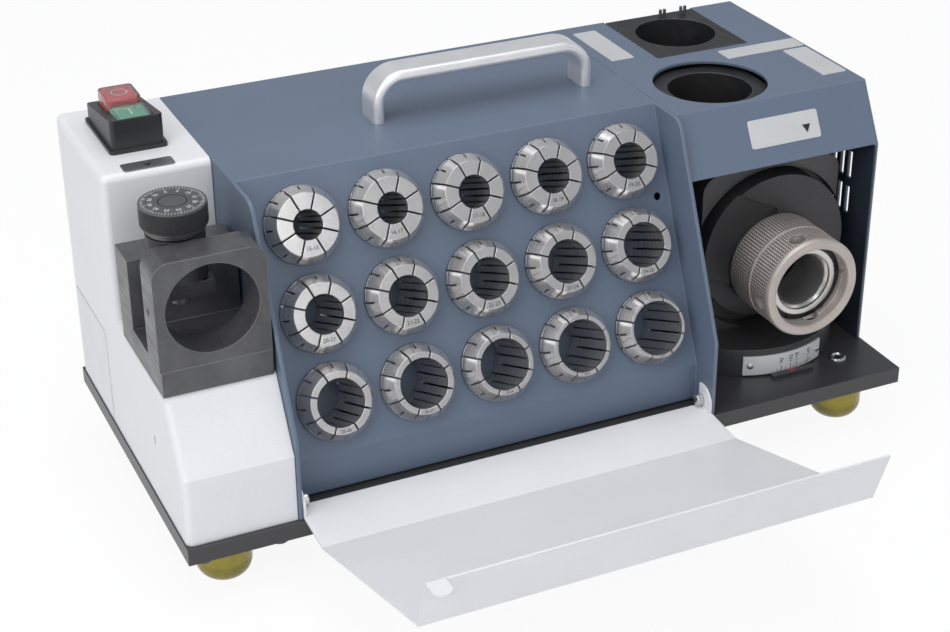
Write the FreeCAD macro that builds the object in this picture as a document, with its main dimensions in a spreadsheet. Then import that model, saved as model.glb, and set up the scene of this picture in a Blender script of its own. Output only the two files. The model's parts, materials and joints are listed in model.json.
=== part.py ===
"""Bench drill bit sharpener with a collet rack, a fold-down tray, a setting gauge and a swivelling chuck port.

Lengths are millimetres and angles are degrees. Every place is given from the top front left corner of the
base plate: X runs right along the base, Y runs back and Z runs up. FRAME then moves the whole object so that
its origin lies on the floor, under the middle of its box.
"""
import FreeCAD, Part
import math
import os
import re

import Sketcher

SIZES = {
    # Base plate and feet
    "base_length": 430,
    "base_depth": 205,
    "base_thickness": 9.5,
    "foot_diameter": 30,
    "foot_height": 27,
    "foot_round": 10,
    "foot_inset": 25.5,
    "foot_screw_diameter": 6,
    "foot_screw_head": 10,
    "foot_screw_head_height": 5,
    "foot_screw_grip": 12,
    "under_screw_diameter": 5,
    "under_screw_head": 9,
    "under_screw_head_height": 3.5,
    "under_screw_grip": 6,
    "under_screw_edge": 8,
    "under_screw_side": 10,
    # Sheet housings
    "cover_height": 158.7,
    "edge_inset": 0.8,
    "seam": 0.3,
    "sheet": 2,
    "left_width": 59,
    "main_width": 246,
    # Left housing
    "left_front": 2.5,
    "left_fold_height": 38,
    "ledge_front": 24,
    "ledge_height": 76.5,
    "ledge_back": 111,
    "left_round": 4,
    # Main cover and its collet panel
    "flange_front": 1.2,
    "flange_fold_height": 45,
    "flange_round": 10,
    "panel_lean": 23.5,
    "panel_recess": 25.4,
    "strip_setback": 19.5,
    "strip_lift": 1.5,
    "panel_hole_diameter": 4.5,
    "panel_hole_drop": 51,
    "panel_hole_side": 7,
    # Collets and their back plate
    "collet_diameter": 41,
    "collet_face_diameter": 33,
    "collet_length": 46,
    "collet_cone": 30,
    "collet_rim": 1.2,
    "collet_groove_width": 2,
    "collet_groove_depth": 1.2,
    "collet_taper": 7,
    "collet_stand": 12,
    "collet_first_bore": 16,
    "collet_bore_step": 1,
    "slit_width": 1,
    "front_slit_bridge": 7,
    "rear_slit_reach": 43,
    "collet_pitch": 46.5,
    "first_row_drop": 28,
    "grid_shift": 2,
    "seat_clearance": 0.15,
    "back_plate_gap": 0.4,
    "back_plate_top": 6,
    "back_plate_length": 140,
    # Right housing
    "brow_back": 57.6,
    "brow_front": 39.7,
    "brow_height": 126,
    "cutout_clearance": 0.3,
    "front_cutout_diameter": 65,
    "vent_width": 4,
    "vent_height": 17,
    "vent_pitch": 7.5,
    "vent_row_pitch": 22,
    "vent_front": 60,
    "vent_low": 74,
    # Ports that take the chuck
    "sleeve_diameter": 48,
    "running_clearance": 0.05,
    "front_port_side": 42.1,
    "front_port_back": 92.6,
    "front_port_width": 66,
    "front_port_depth": 65,
    "front_port_drop": 4.2,
    "front_port_height": 34,
    "rear_port_side": 63.6,
    "rear_port_back": 169.5,
    "rear_port_width": 60,
    "rear_port_depth": 65,
    "rear_port_rise": 0.3,
    "rear_port_height": 45,
    "port_lug_depth": 40,
    "port_lug_height": 12,
    "pin_diameter": 2,
    "pin_height": 5,
    "pin_pitch": 2.8,
    "pin_pair_pitch": 14.3,
    "pin_side": 4.6,
    "pin_edge": 6,
    # Stand that carries the ports
    "stand_thickness": 8,
    "stand_front": 62,
    "stand_back": 198,
    "stand_height": 150,
    # Motor, shaft and wheel
    "spindle_back": 130.5,
    "spindle_height": 66,
    "motor_diameter": 86,
    "motor_length": 138,
    "motor_wall": 5,
    "motor_gap": 14,
    "bearing_diameter": 28,
    "bearing_width": 12,
    "shaft_diameter": 17,
    "shaft_tail": 4,
    "rotor_diameter": 68,
    "rotor_gap": 6,
    "nose_diameter": 14,
    "cradle_length": 100,
    "cradle_depth": 72,
    "cradle_height": 40,
    "wheel_diameter": 80,
    "wheel_width": 30,
    "wheel_side": 38.6,
    "wheel_flange_diameter": 36,
    "wheel_flange_width": 4,
    "wheel_nut_width": 9,
    "wheel_nut_diameter": 24,
    "nose_end": 3,
    "press_clearance": 0.02,
    # Electrical pieces
    "capacitor_diameter": 36,
    "capacitor_height": 70,
    "capacitor_back": 165,
    "gland_diameter": 18,
    "gland_nut_diameter": 22,
    "gland_reach": 14,
    "gland_bore": 7,
    "gland_height": 32,
    "switch_side": 14.2,
    "switch_front": 138,
    "switch_width": 28.5,
    "switch_depth": 49.8,
    "switch_front_rise": 18.3,
    "switch_back_rise": 10.8,
    "switch_round": 2.5,
    "switch_flange": 1.5,
    "switch_flange_height": 2,
    "switch_plug_inset": 2,
    "switch_plug_depth": 24,
    "button_width": 19,
    "button_depth": 19.5,
    "button_edge": 2.2,
    "button_land": 1.9,
    "button_side": 5,
    "button_travel": 4,
    "button_height": 16,
    "start_button_rise": 18,
    "stop_button_rise": 21,
    "button_clearance": 0.4,
    # Carrying handle
    "handle_thickness": 6.6,
    "handle_depth": 20.2,
    "handle_round": 3.1,
    "handle_span": 125.5,
    "handle_rise": 24.5,
    "handle_bend": 15,
    "handle_side": 96.5,
    "handle_back": 125.5,
    "handle_screw_diameter": 4,
    "handle_screw_head": 8,
    "handle_screw_head_height": 4,
    "handle_screw_grip": 12,
    # Tray
    "tray_sheet": 1.2,
    "tray_side_gap": 0.3,
    "pivot_back": 9.5,
    "pivot_height": 6.5,
    "tray_rear_reach": 1.5,
    "tray_drop": 3.9,
    "apron_length": 36.6,
    "apron_fall": 4.4,
    "floor_length": 128,
    "floor_rise": 16.7,
    "lip_length": 30.7,
    "lip_rise": 71,
    "tab_width": 10,
    "tab_length": 12,
    "ear_radius": 9,
    "ear_rear": 3,
    "ear_sheet": 1.5,
    "pivot_diameter": 5,
    "pivot_head_diameter": 7,
    "pivot_head_height": 3,
    # Setting gauge
    "gauge_width": 57.6,
    "gauge_front": 22.5,
    "gauge_depth": 71.5,
    "gauge_base_height": 14,
    "gauge_back_depth": 22,
    "gauge_back_height": 52.8,
    "gauge_block_depth": 19.5,
    "gauge_block_height": 58.7,
    "gauge_block_round": 9,
    "gauge_block_overhang": 0.7,
    "gauge_bore_side": 28.6,
    "gauge_bore_height": 30,
    "carrier_sink": 4,
    "carrier_height": 23.7,
    "knob_side": 22.2,
    "knob_diameter": 33.8,
    "knob_height": 15,
    "knob_chamfer": 2.1,
    "knob_chamfer_height": 3.5,
    "knob_lift": 0.8,
    "knob_neck_diameter": 24,
    "spindle_screw_diameter": 10,
    "spindle_screw_length": 15.5,
    "stop_width": 24,
    "stop_depth": 16,
    "stop_height": 8,
    "stop_drop": 14.9,
    # Swivel and chuck port
    "swivel_side": 60.6,
    "swivel_back": 84,
    "swivel_diameter": 118,
    "swivel_clearance": 1.2,
    "swivel_height": 16.7,
    "swivel_gap": 0.3,
    "swivel_flat": 41,
    "swivel_pivot_diameter": 16,
    "swivel_head_diameter": 24,
    "swivel_head_height": 5.5,
    "scale_thickness": 1,
    "scale_height": 12,
    "scale_lift": 0.8,
    "scale_start": 245,
    "scale_end": 297,
    "pointer_side": 50.6,
    "pointer_width": 26.5,
    "pointer_depth": 3.5,
    "pointer_height": 2,
    "pointer_gap": 0.5,
    "chuck_side": 64.6,
    "chuck_height": 60.8,
    "block_width": 90,
    "block_top": 117,
    "block_round": 10,
    "block_front": 57,
    "block_depth": 23,
    "recess_radius": 50.5,
    "recess_rise": 4.3,
    "recess_depth": 8,
    # Chuck
    "flange_face": 49.2,
    "flange_radius": 45.2,
    "flange_rise": 7.5,
    "flange_thickness": 15.5,
    "cam_step": 2,
    "cam_top": 32.3,
    "cam_lean": 27,
    "flange_step": 6,
    "step_lean": 24.6,
    "sleeve_length": 18,
    "chuck_bore": 31,
    "collar_diameter": 58,
    "collar_length": 18.8,
    "spigot_diameter": 46.6,
    "spigot_length": 9,
    "nut_length": 20.1,
    "nut_gap": 0.3,
    "nut_mouth": 47,
    "nut_hole_diameter": 9,
    "nut_hole_place": 12,
    "nut_hole_turn": 14,
    "ring_inner": 35,
    "ring_length": 3,
}

COLUMNS = 5
ROWS = 3
SLITS = 8
VENT_COLUMNS = 9
VENT_ROWS = 2

# Places that several pieces share, as formulas of the sizes
X_LEFT = "edge_inset"
X_MAIN = "(edge_inset + left_width + seam)"
X_MAIN_END = "(edge_inset + left_width + seam + main_width)"
X_RIGHT = "(edge_inset + left_width + main_width + 2*seam)"
X_RIGHT_END = f"({X_RIGHT} + swivel_side + swivel_diameter/2 + swivel_clearance + sheet)"
Y_BACK = "(base_depth - edge_inset)"
FLANGE_TOP = "(flange_front + (cover_height - flange_fold_height)*tan(panel_lean))"
PANEL_TOP = f"({FLANGE_TOP} + panel_recess/cos(panel_lean))"
GRID_MIDDLE = f"({X_MAIN} + main_width/2 + grid_shift)"
COLLET_SEAT = "(collet_stand - (collet_diameter - collet_face_diameter)/2/tan(collet_cone) - collet_rim" \
              " - collet_groove_width)"
PANEL_HOLE = f"(collet_diameter - 2*{COLLET_SEAT}*tan(collet_taper) + 2*seat_clearance)"
STAND_X = f"({X_RIGHT} + seam)"
STAND_FACE = f"({STAND_X} + stand_thickness)"
FRONT_PORT_X = f"({X_RIGHT} + front_port_side)"
REAR_PORT_X = f"({X_RIGHT} + rear_port_side)"
PORT_BORE = "(sleeve_diameter + 2*running_clearance)"
MOTOR_END = f"({X_MAIN_END} - motor_gap)"
MOTOR_START = f"({MOTOR_END} - motor_length)"
WHEEL_X = f"({X_RIGHT} + wheel_side)"
SWITCH_X = f"({X_LEFT} + switch_side)"
LEFT_MIDDLE = f"({X_LEFT} + left_width/2)"
HANDLE_X = f"({X_MAIN} + handle_side)"
GAUGE_TOP = "(ledge_height + gauge_base_height)"
GAUGE_BACK = "(gauge_front + gauge_depth - gauge_back_depth)"
CARRIER_Z = "(ledge_height + gauge_back_height)"
GAUGE_SLOT = f"({GAUGE_BACK} - gauge_front - gauge_block_depth)"
KNOB_X = f"({X_LEFT} + knob_side)"
KNOB_Y = f"({GAUGE_BACK} - {GAUGE_SLOT}/2)"
SWIVEL_X = f"({X_RIGHT} + swivel_side)"
SWIVEL_TOP = "(swivel_gap + swivel_height)"
CHUCK_X = f"({X_RIGHT} + chuck_side)"
NUT_START = "(collar_length + nut_gap)"
TRAY_LEFT = f"({X_MAIN} + sheet + tray_side_gap)"
TRAY_RIGHT = f"({X_MAIN_END} - sheet - tray_side_gap)"
TRAY_Y = "(pivot_back + tray_rear_reach)"
TRAY_Z = "(pivot_height - tray_drop)"
LIP_Y = f"({TRAY_Y} - apron_length*cos(apron_fall) - floor_length*cos(floor_rise) - lip_length*cos(lip_rise))"
TRAY_FRONT = f"({LIP_Y} - tab_length)"
GLAND_END = f"({Y_BACK} + gland_reach)"
FRAME = ("-base_length/2", f"-({GLAND_END} + {TRAY_FRONT})/2", "base_thickness + foot_height")

UPRIGHT_X = (FreeCAD.Vector(0, 1, 0), 90)
TOWARDS_FRONT = (FreeCAD.Vector(1, 0, 0), 90)
TOWARDS_BACK = (FreeCAD.Vector(1, 0, 0), -90)

WORD = re.compile(r"[a-z_][a-z0-9_]*")

doc = FreeCAD.newDocument("drill_bit_sharpener")
sheet = doc.addObject("Spreadsheet::Sheet", "Sizes")
for row, (alias, number) in enumerate(SIZES.items(), start=1):
    sheet.set(f"A{row}", alias)
    sheet.set(f"B{row}", str(number))
    sheet.setAlias(f"B{row}", alias)
doc.recompute()
pieces = []


def formula(text):
    """Names each size in a formula by its cell in the sheet."""
    return WORD.sub(lambda hit: f"Sizes.{hit.group()}" if hit.group() in SIZES else hit.group(), text)


def value(text):
    """Works a formula out."""
    return float(sheet.evalExpression(formula(text)))


def bind(thing, name, text):
    """Ties a property to a formula of the sizes."""
    thing.setExpression(name, formula(text))


def place(piece, x="0", y="0", z="0", turn=None):
    """Stands a finished piece in the object's frame and adds it to the list that is written."""
    if turn:
        piece.Placement = FreeCAD.Placement(FreeCAD.Vector(), FreeCAD.Rotation(*turn))
    for way, text, shift in zip("xyz", (x, y, z), FRAME):
        bind(piece, f"Placement.Base.{way}", f"({text}) + ({shift})")
    pieces.append(piece)
    return piece


def body(label):
    """Starts a solid made of sketches and features."""
    made = doc.addObject("PartDesign::Body", label)
    made.Label = label
    made.AllowCompound = True
    return made


def sketch_on(made, role, lift="0"):
    """Adds a sketch on one of a body's own planes, lifted along that plane's normal."""
    drawn = made.newObject("Sketcher::SketchObject", f"{made.Name}_sketch")
    drawn.AttachmentSupport = [next(plane for plane in made.Origin.OriginFeatures if plane.Role == role)]
    drawn.MapMode = "FlatFace"
    bind(drawn, "AttachmentOffset.Base.z", lift)
    return drawn


def locate(drawn, geometry, point, x, y):
    """Fixes one point of a sketch at formulas of the sizes."""
    for kind, text in (("DistanceX", x), ("DistanceY", y)):
        index = drawn.addConstraint(Sketcher.Constraint(kind, -1, 1, geometry, point, value(text)))
        bind(drawn, f"Constraints[{index}]", text)


def arc_between(start, stop, radius, sense):
    """Makes the short arc from start to stop, counterclockwise where sense is 1."""
    chord = stop - start
    middle = (start + stop) * 0.5
    height = math.sqrt(max(radius ** 2 - (chord.Length / 2) ** 2, 0))
    side = FreeCAD.Vector(-chord.y, chord.x, 0).normalize()
    centre = middle + side * (sense * height)
    first, last = (start, stop) if sense > 0 else (stop, start)
    angles = [math.atan2(point.y - centre.y, point.x - centre.x) for point in (first, last)]
    circle = Part.Circle(centre, FreeCAD.Vector(0, 0, 1), radius)
    return Part.ArcOfCircle(circle, angles[0], angles[1])


def outline(drawn, corners, closed=True):
    """Draws located corners joined by lines, or by an arc after a corner with a third entry (sense, radius)."""
    spots = [FreeCAD.Vector(value(corner[0]), value(corner[1]), 0) for corner in corners]
    count = len(corners) if closed else len(corners) - 1
    edges = []
    for index in range(count):
        start = spots[index]
        stop = spots[(index + 1) % len(spots)]
        if len(corners[index]) == 2:
            edges.append((drawn.addGeometry(Part.LineSegment(start, stop)), 1, 2))
        else:
            sense, radius = corners[index][2]
            edge = drawn.addGeometry(arc_between(start, stop, value(radius), sense))
            hold = drawn.addConstraint(Sketcher.Constraint("Radius", edge, value(radius)))
            bind(drawn, f"Constraints[{hold}]", radius)
            edges.append((edge, 1, 2) if sense > 0 else (edge, 2, 1))
    for index, (edge, first, last) in enumerate(edges):
        locate(drawn, edge, first, corners[index][0], corners[index][1])
        following = edges[(index + 1) % count]
        if closed or index + 1 < count:
            drawn.addConstraint(Sketcher.Constraint("Coincident", edge, last, following[0], following[1]))
        else:
            locate(drawn, edge, last, corners[-1][0], corners[-1][1])


def rectangle(drawn, x0, x1, y0, y1):
    outline(drawn, [(x0, y0), (x1, y0), (x1, y1), (x0, y1)])


def ring(drawn, x, y, diameter):
    """Draws a located circle."""
    middle = FreeCAD.Vector(value(x), value(y), 0)
    circle = drawn.addGeometry(Part.Circle(middle, FreeCAD.Vector(0, 0, 1), value(diameter) / 2))
    locate(drawn, circle, 3, x, y)
    hold = drawn.addConstraint(Sketcher.Constraint("Diameter", circle, value(diameter)))
    bind(drawn, f"Constraints[{hold}]", diameter)


def pad(made, drawn, length, back=False):
    """Adds material along a sketch's normal, or against it."""
    feature = made.newObject("PartDesign::Pad", f"{made.Name}_pad")
    feature.Profile = drawn
    feature.Reversed = back
    bind(feature, "Length", length)
    return feature


def pocket(made, drawn, depth, ahead=False, both=False):
    """Cuts against a sketch's normal, along it, or both ways."""
    feature = made.newObject("PartDesign::Pocket", f"{made.Name}_pocket")
    feature.Profile = drawn
    feature.Reversed = ahead
    feature.Midplane = both
    bind(feature, "Length", depth)
    return feature


def revolve(made, *profiles):
    """Turns profiles of radius and height once round the body's Z axis."""
    drawn = sketch_on(made, "XZ_Plane")
    for profile in profiles:
        outline(drawn, profile)
    feature = made.newObject("PartDesign::Revolution", f"{made.Name}_turn")
    feature.Profile = drawn
    feature.ReferenceAxis = (drawn, ["V_Axis"])
    feature.Angle = 360
    return feature


def round_edges(made, radius, wanted):
    """Rounds the edges of a body's last feature that a test picks."""
    doc.recompute()
    base = made.Tip
    names = [f"Edge{number}" for number, edge in enumerate(base.Shape.Edges, start=1) if wanted(edge)]
    feature = made.newObject("PartDesign::Fillet", f"{made.Name}_round")
    feature.Base = (base, names)
    bind(feature, "Radius", radius)
    return feature


def lies_at(edge, way, number):
    """Says whether all of an edge lies in one plane across an axis."""
    box = edge.BoundBox
    low, high = {"x": (box.XMin, box.XMax), "y": (box.YMin, box.YMax), "z": (box.ZMin, box.ZMax)}[way]
    return abs(low - number) < 1e-4 and abs(high - number) < 1e-4


def stands(edge):
    """Says whether an edge is upright."""
    return edge.BoundBox.XLength < 1e-4 and edge.BoundBox.YLength < 1e-4


def box(x, y, z, length, width, height):
    """Makes a block from its lowest corner and its sizes."""
    made = doc.addObject("Part::Box", "block")
    for name, text in zip(("Length", "Width", "Height"), (length, width, height)):
        bind(made, name, text)
    for way, text in zip("xyz", (x, y, z)):
        bind(made, f"Placement.Base.{way}", text)
    return made


def rod(x, y, z, diameter, height, turn=None):
    """Makes a round bar from the middle of its lower end, standing unless it is turned."""
    made = doc.addObject("Part::Cylinder", "bar")
    if turn:
        made.Placement = FreeCAD.Placement(FreeCAD.Vector(), FreeCAD.Rotation(*turn))
    bind(made, "Radius", f"({diameter})/2")
    bind(made, "Height", height)
    for way, text in zip("xyz", (x, y, z)):
        bind(made, f"Placement.Base.{way}", text)
    return made


def joined(label, parts):
    """Joins shapes that meet into solids, as one node."""
    made = doc.addObject("Part::MultiFuse", label)
    made.Label = label
    made.Shapes = parts
    return made


def cut(label, kept, removed):
    made = doc.addObject("Part::Cut", label)
    made.Label = label
    made.Base = kept
    made.Tool = removed
    return made


def named(piece, label):
    piece.Label = label
    return piece


def foot_spots():
    """The four feet, by name, with their places on the base plate."""
    sides = {"left": "foot_inset", "right": "base_length - foot_inset"}
    ends = {"front": "foot_inset", "rear": "base_depth - foot_inset"}
    return {f"{end}_{side}": (sides[side], ends[end]) for end in ends for side in sides}


def under_spots():
    """Places of the screws that hold the housings down from under the base plate."""
    for x in ("under_screw_side", "left_width - under_screw_edge", "base_length - under_screw_side"):
        for y in ("under_screw_edge", "base_depth - under_screw_edge"):
            if x.startswith("base_length") and y == "under_screw_edge":
                continue
            yield x, y


def build_base():
    made = body("base_plate")
    drawn = sketch_on(made, "XY_Plane")
    rectangle(drawn, "0", "base_length", "0", "base_depth")
    pad(made, drawn, "base_thickness", back=True)
    through = sketch_on(made, "XY_Plane")
    sunk = sketch_on(made, "XY_Plane")
    for x, y in foot_spots().values():
        ring(through, x, y, "foot_screw_diameter + 2*press_clearance")
        ring(sunk, x, y, "foot_screw_head + 2*cutout_clearance")
    ring(through, SWIVEL_X, "swivel_back", "swivel_pivot_diameter + 2*press_clearance")
    pocket(made, through, "base_thickness")
    pocket(made, sunk, "foot_screw_head_height")
    blind = sketch_on(made, "XY_Plane", "-base_thickness")
    for x, y in under_spots():
        ring(blind, x, y, "under_screw_diameter + 2*press_clearance")
    pocket(made, blind, "under_screw_grip", ahead=True)
    place(made)


def build_feet():
    for name, (x, y) in foot_spots().items():
        made = body(f"foot_{name}")
        bore = "(foot_screw_diameter/2 + press_clearance)"
        revolve(made, [
            ("0", "-foot_height"),
            ("foot_diameter/2 - foot_round", "-foot_height", (1, "foot_round")),
            ("foot_diameter/2", "foot_round - foot_height"),
            ("foot_diameter/2", "0"),
            (bore, "0"),
            (bore, "-foot_screw_grip - press_clearance"),
            ("0", "-foot_screw_grip - press_clearance"),
        ])
        place(made, x, y, "-base_thickness")
    screws = []
    for x, y in foot_spots().values():
        shank = "base_thickness + foot_screw_grip - foot_screw_head_height"
        screws.append(rod(x, y, "-base_thickness - foot_screw_grip", "foot_screw_diameter", shank))
        screws.append(rod(x, y, "-foot_screw_head_height", "foot_screw_head", "foot_screw_head_height"))
    place(joined("foot_screws", screws))
    screws = []
    for x, y in under_spots():
        head = "-base_thickness - under_screw_head_height"
        screws.append(rod(x, y, head, "under_screw_head", "under_screw_head_height"))
        screws.append(rod(x, y, "-base_thickness", "under_screw_diameter", "under_screw_grip"))
    place(joined("housing_screws", screws))


def build_left_housing():
    made = body("left_housing")
    drawn = sketch_on(made, "YZ_Plane", X_LEFT)
    outline(drawn, [
        ("left_front", "0"),
        ("left_front", "left_fold_height"),
        ("ledge_front", "ledge_height"),
        ("ledge_back", "ledge_height"),
        ("ledge_back", "cover_height - left_round", (-1, "left_round")),
        ("ledge_back + left_round", "cover_height"),
        (Y_BACK, "cover_height"),
        (Y_BACK, "0"),
    ])
    pad(made, drawn, "left_width")
    side = value(X_LEFT)
    round_edges(made, "left_round", lambda edge: lies_at(edge, "x", side) and not lies_at(edge, "z", 0))
    inner = sketch_on(made, "YZ_Plane", f"{X_LEFT} + sheet")
    outline(inner, [
        ("left_front + sheet", "-sheet"),
        ("left_front + sheet", "left_fold_height"),
        ("ledge_front + sheet", "ledge_height - sheet"),
        ("ledge_back + sheet", "ledge_height - sheet"),
        ("ledge_back + sheet", "cover_height - sheet"),
        (f"{Y_BACK} - sheet", "cover_height - sheet"),
        (f"{Y_BACK} - sheet", "-sheet"),
    ])
    pocket(made, inner, "left_width - 2*sheet", ahead=True)
    hole = sketch_on(made, "XY_Plane", "cover_height")
    inset = "(switch_plug_inset - cutout_clearance)"
    rectangle(hole, f"{SWITCH_X} + {inset}", f"{SWITCH_X} + switch_width - {inset}",
              f"switch_front + {inset}", f"switch_front + switch_depth - {inset}")
    pocket(made, hole, "sheet")
    entry = sketch_on(made, "XZ_Plane", f"-{Y_BACK}")
    ring(entry, LEFT_MIDDLE, "gland_height", "gland_diameter + 2*press_clearance")
    pocket(made, entry, "sheet", ahead=True)
    place(made)


def flange_outline(drawn):
    """Side plate of the main cover: upright at the front, then leaning back to a round top corner."""
    reach = "flange_round*tan((90 - panel_lean)/2)"
    outline(drawn, [
        ("flange_front", "0"),
        ("flange_front", "flange_fold_height"),
        (f"{FLANGE_TOP} - {reach}*sin(panel_lean)", f"cover_height - {reach}*cos(panel_lean)",
         (-1, "flange_round")),
        (f"{FLANGE_TOP} + {reach}", "cover_height"),
        (Y_BACK, "cover_height"),
        (Y_BACK, "0"),
    ])


def panel_sketch(made):
    """A sketch on the collet panel: X across, Y up the slope, from the fold at the panel's top left."""
    drawn = sketch_on(made, "XY_Plane", "cover_height")
    drawn.AttachmentOffset = FreeCAD.Placement(FreeCAD.Vector(), FreeCAD.Rotation(FreeCAD.Vector(1, 0, 0), 1))
    bind(drawn, "AttachmentOffset.Rotation.Angle", "90 - panel_lean")
    bind(drawn, "AttachmentOffset.Base.y", PANEL_TOP)
    return drawn


def collet_spots():
    """Across and down-slope formulas of the collet places, row by row from the top left."""
    for row in range(ROWS):
        for column in range(COLUMNS):
            across = f"({GRID_MIDDLE} + {column - (COLUMNS - 1) / 2}*collet_pitch)"
            yield across, f"(first_row_drop + {row}*collet_pitch)"


def build_main_cover():
    made = body("main_cover")
    left = sketch_on(made, "YZ_Plane", X_MAIN)
    flange_outline(left)
    pad(made, left, "sheet")
    folded = sketch_on(made, "YZ_Plane", X_MAIN)
    drop = f"({PANEL_TOP} - strip_setback)/tan(panel_lean)"
    inner_top = f"{PANEL_TOP} + sheet*(1 - sin(panel_lean))/cos(panel_lean)"
    inner_drop = f"(({PANEL_TOP} - strip_setback - sheet)*cos(panel_lean) + sheet)/sin(panel_lean)"
    outline(folded, [
        ("strip_setback", "strip_lift"),
        ("strip_setback", f"cover_height - {drop}"),
        (PANEL_TOP, "cover_height"),
        (Y_BACK, "cover_height"),
        (Y_BACK, "0"),
        (f"{Y_BACK} - sheet", "0"),
        (f"{Y_BACK} - sheet", "cover_height - sheet"),
        (inner_top, "cover_height - sheet"),
        ("strip_setback + sheet", f"cover_height - {inner_drop}"),
        ("strip_setback + sheet", "strip_lift"),
    ])
    pad(made, folded, "main_width")
    right = sketch_on(made, "YZ_Plane", f"{X_MAIN_END} - sheet")
    flange_outline(right)
    pad(made, right, "sheet")
    holes = panel_sketch(made)
    for across, down in collet_spots():
        ring(holes, across, f"-{down}", PANEL_HOLE)
    ring(holes, f"{X_MAIN_END} - sheet - panel_hole_side", "-panel_hole_drop", "panel_hole_diameter")
    pocket(made, holes, "2*sheet")
    pivots = sketch_on(made, "YZ_Plane", X_MAIN)
    ring(pivots, "pivot_back", "pivot_height", "pivot_diameter + 2*press_clearance")
    pocket(made, pivots, "main_width", ahead=True)
    shaft = sketch_on(made, "YZ_Plane", f"{X_MAIN_END} - sheet")
    ring(shaft, "spindle_back", "spindle_height", "bearing_diameter")
    pocket(made, shaft, "sheet", ahead=True)
    screws = sketch_on(made, "XY_Plane", "cover_height")
    for side in ("0", "handle_span"):
        ring(screws, f"{HANDLE_X} + {side}", "handle_back", "handle_screw_diameter + 2*press_clearance")
    pocket(made, screws, "sheet")
    place(made)


def lean_on_panel(piece, across, down, depth):
    """Stands a piece with its Z axis out of the panel, at a place on it and a depth behind its surface."""
    place(piece, across, f"{PANEL_TOP} - {down}*sin(panel_lean) + {depth}*cos(panel_lean)",
          f"cover_height - {down}*cos(panel_lean) - {depth}*sin(panel_lean)", TOWARDS_FRONT)
    bind(piece, "Placement.Rotation.Angle", "90 - panel_lean")


def build_back_plate():
    side = "sheet + seam"
    made = named(doc.addObject("Part::Box", "collet_back_plate"), "collet_back_plate")
    bind(made, "Length", f"main_width - 2*({side})")
    bind(made, "Width", "back_plate_length")
    bind(made, "Height", "sheet")
    depth = "(collet_length - collet_stand + back_plate_gap + sheet)"
    lean_on_panel(made, f"{X_MAIN} + {side}", "(back_plate_top + back_plate_length)", depth)


def build_collet(index, across, down):
    """One spring collet, with its face at Z 0 and slits from both ends."""
    bore = f"(collet_first_bore + {index}*collet_bore_step)"
    made = body(f"collet_{round(value(bore))}")
    cone = "((collet_diameter - collet_face_diameter)/2/tan(collet_cone))"
    groove = f"({cone} + collet_rim)"
    taper = f"({groove} + collet_groove_width)"
    rear = f"(collet_diameter/2 - (collet_length - {taper})*tan(collet_taper))"
    revolve(made, [
        (f"{bore}/2", "0"),
        ("collet_face_diameter/2", "0"),
        ("collet_diameter/2", f"-{cone}"),
        ("collet_diameter/2", f"-{groove}"),
        ("collet_diameter/2 - collet_groove_depth", f"-{groove}"),
        ("collet_diameter/2 - collet_groove_depth", f"-{taper}"),
        ("collet_diameter/2", f"-{taper}"),
        (rear, "-collet_length"),
        (f"{bore}/2", "-collet_length"),
    ])
    back = sketch_on(made, "XY_Plane", "-collet_length")
    rectangle(back, f"{bore}/4", "collet_diameter", "-slit_width/2", "slit_width/2")
    back_slit = pocket(made, back, "rear_slit_reach", ahead=True)
    slit_pattern(made, back_slit, back)
    front = sketch_on(made, "XY_Plane")
    turn = 180 / SLITS
    near = f"{bore}/4"
    far = "collet_diameter"
    corners = []
    for reach, side in ((near, "-"), (far, "-"), (far, "+"), (near, "+")):
        half = f"({side}slit_width/2)"
        corners.append((f"{reach}*cos({turn}) - {half}*sin({turn})",
                        f"{reach}*sin({turn}) + {half}*cos({turn})"))
    outline(front, corners)
    front_slit = pocket(made, front, "collet_length - front_slit_bridge")
    slit_pattern(made, front_slit, front)
    lean_on_panel(made, across, down, "(-collet_stand)")


def slit_pattern(made, feature, drawn):
    """Repeats a slit evenly round a collet's axis."""
    pattern = made.newObject("PartDesign::PolarPattern", f"{made.Name}_slits")
    pattern.Originals = [feature]
    pattern.Axis = (drawn, ["N_Axis"])
    pattern.Angle = 360
    pattern.Occurrences = SLITS
    made.Tip = pattern


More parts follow.
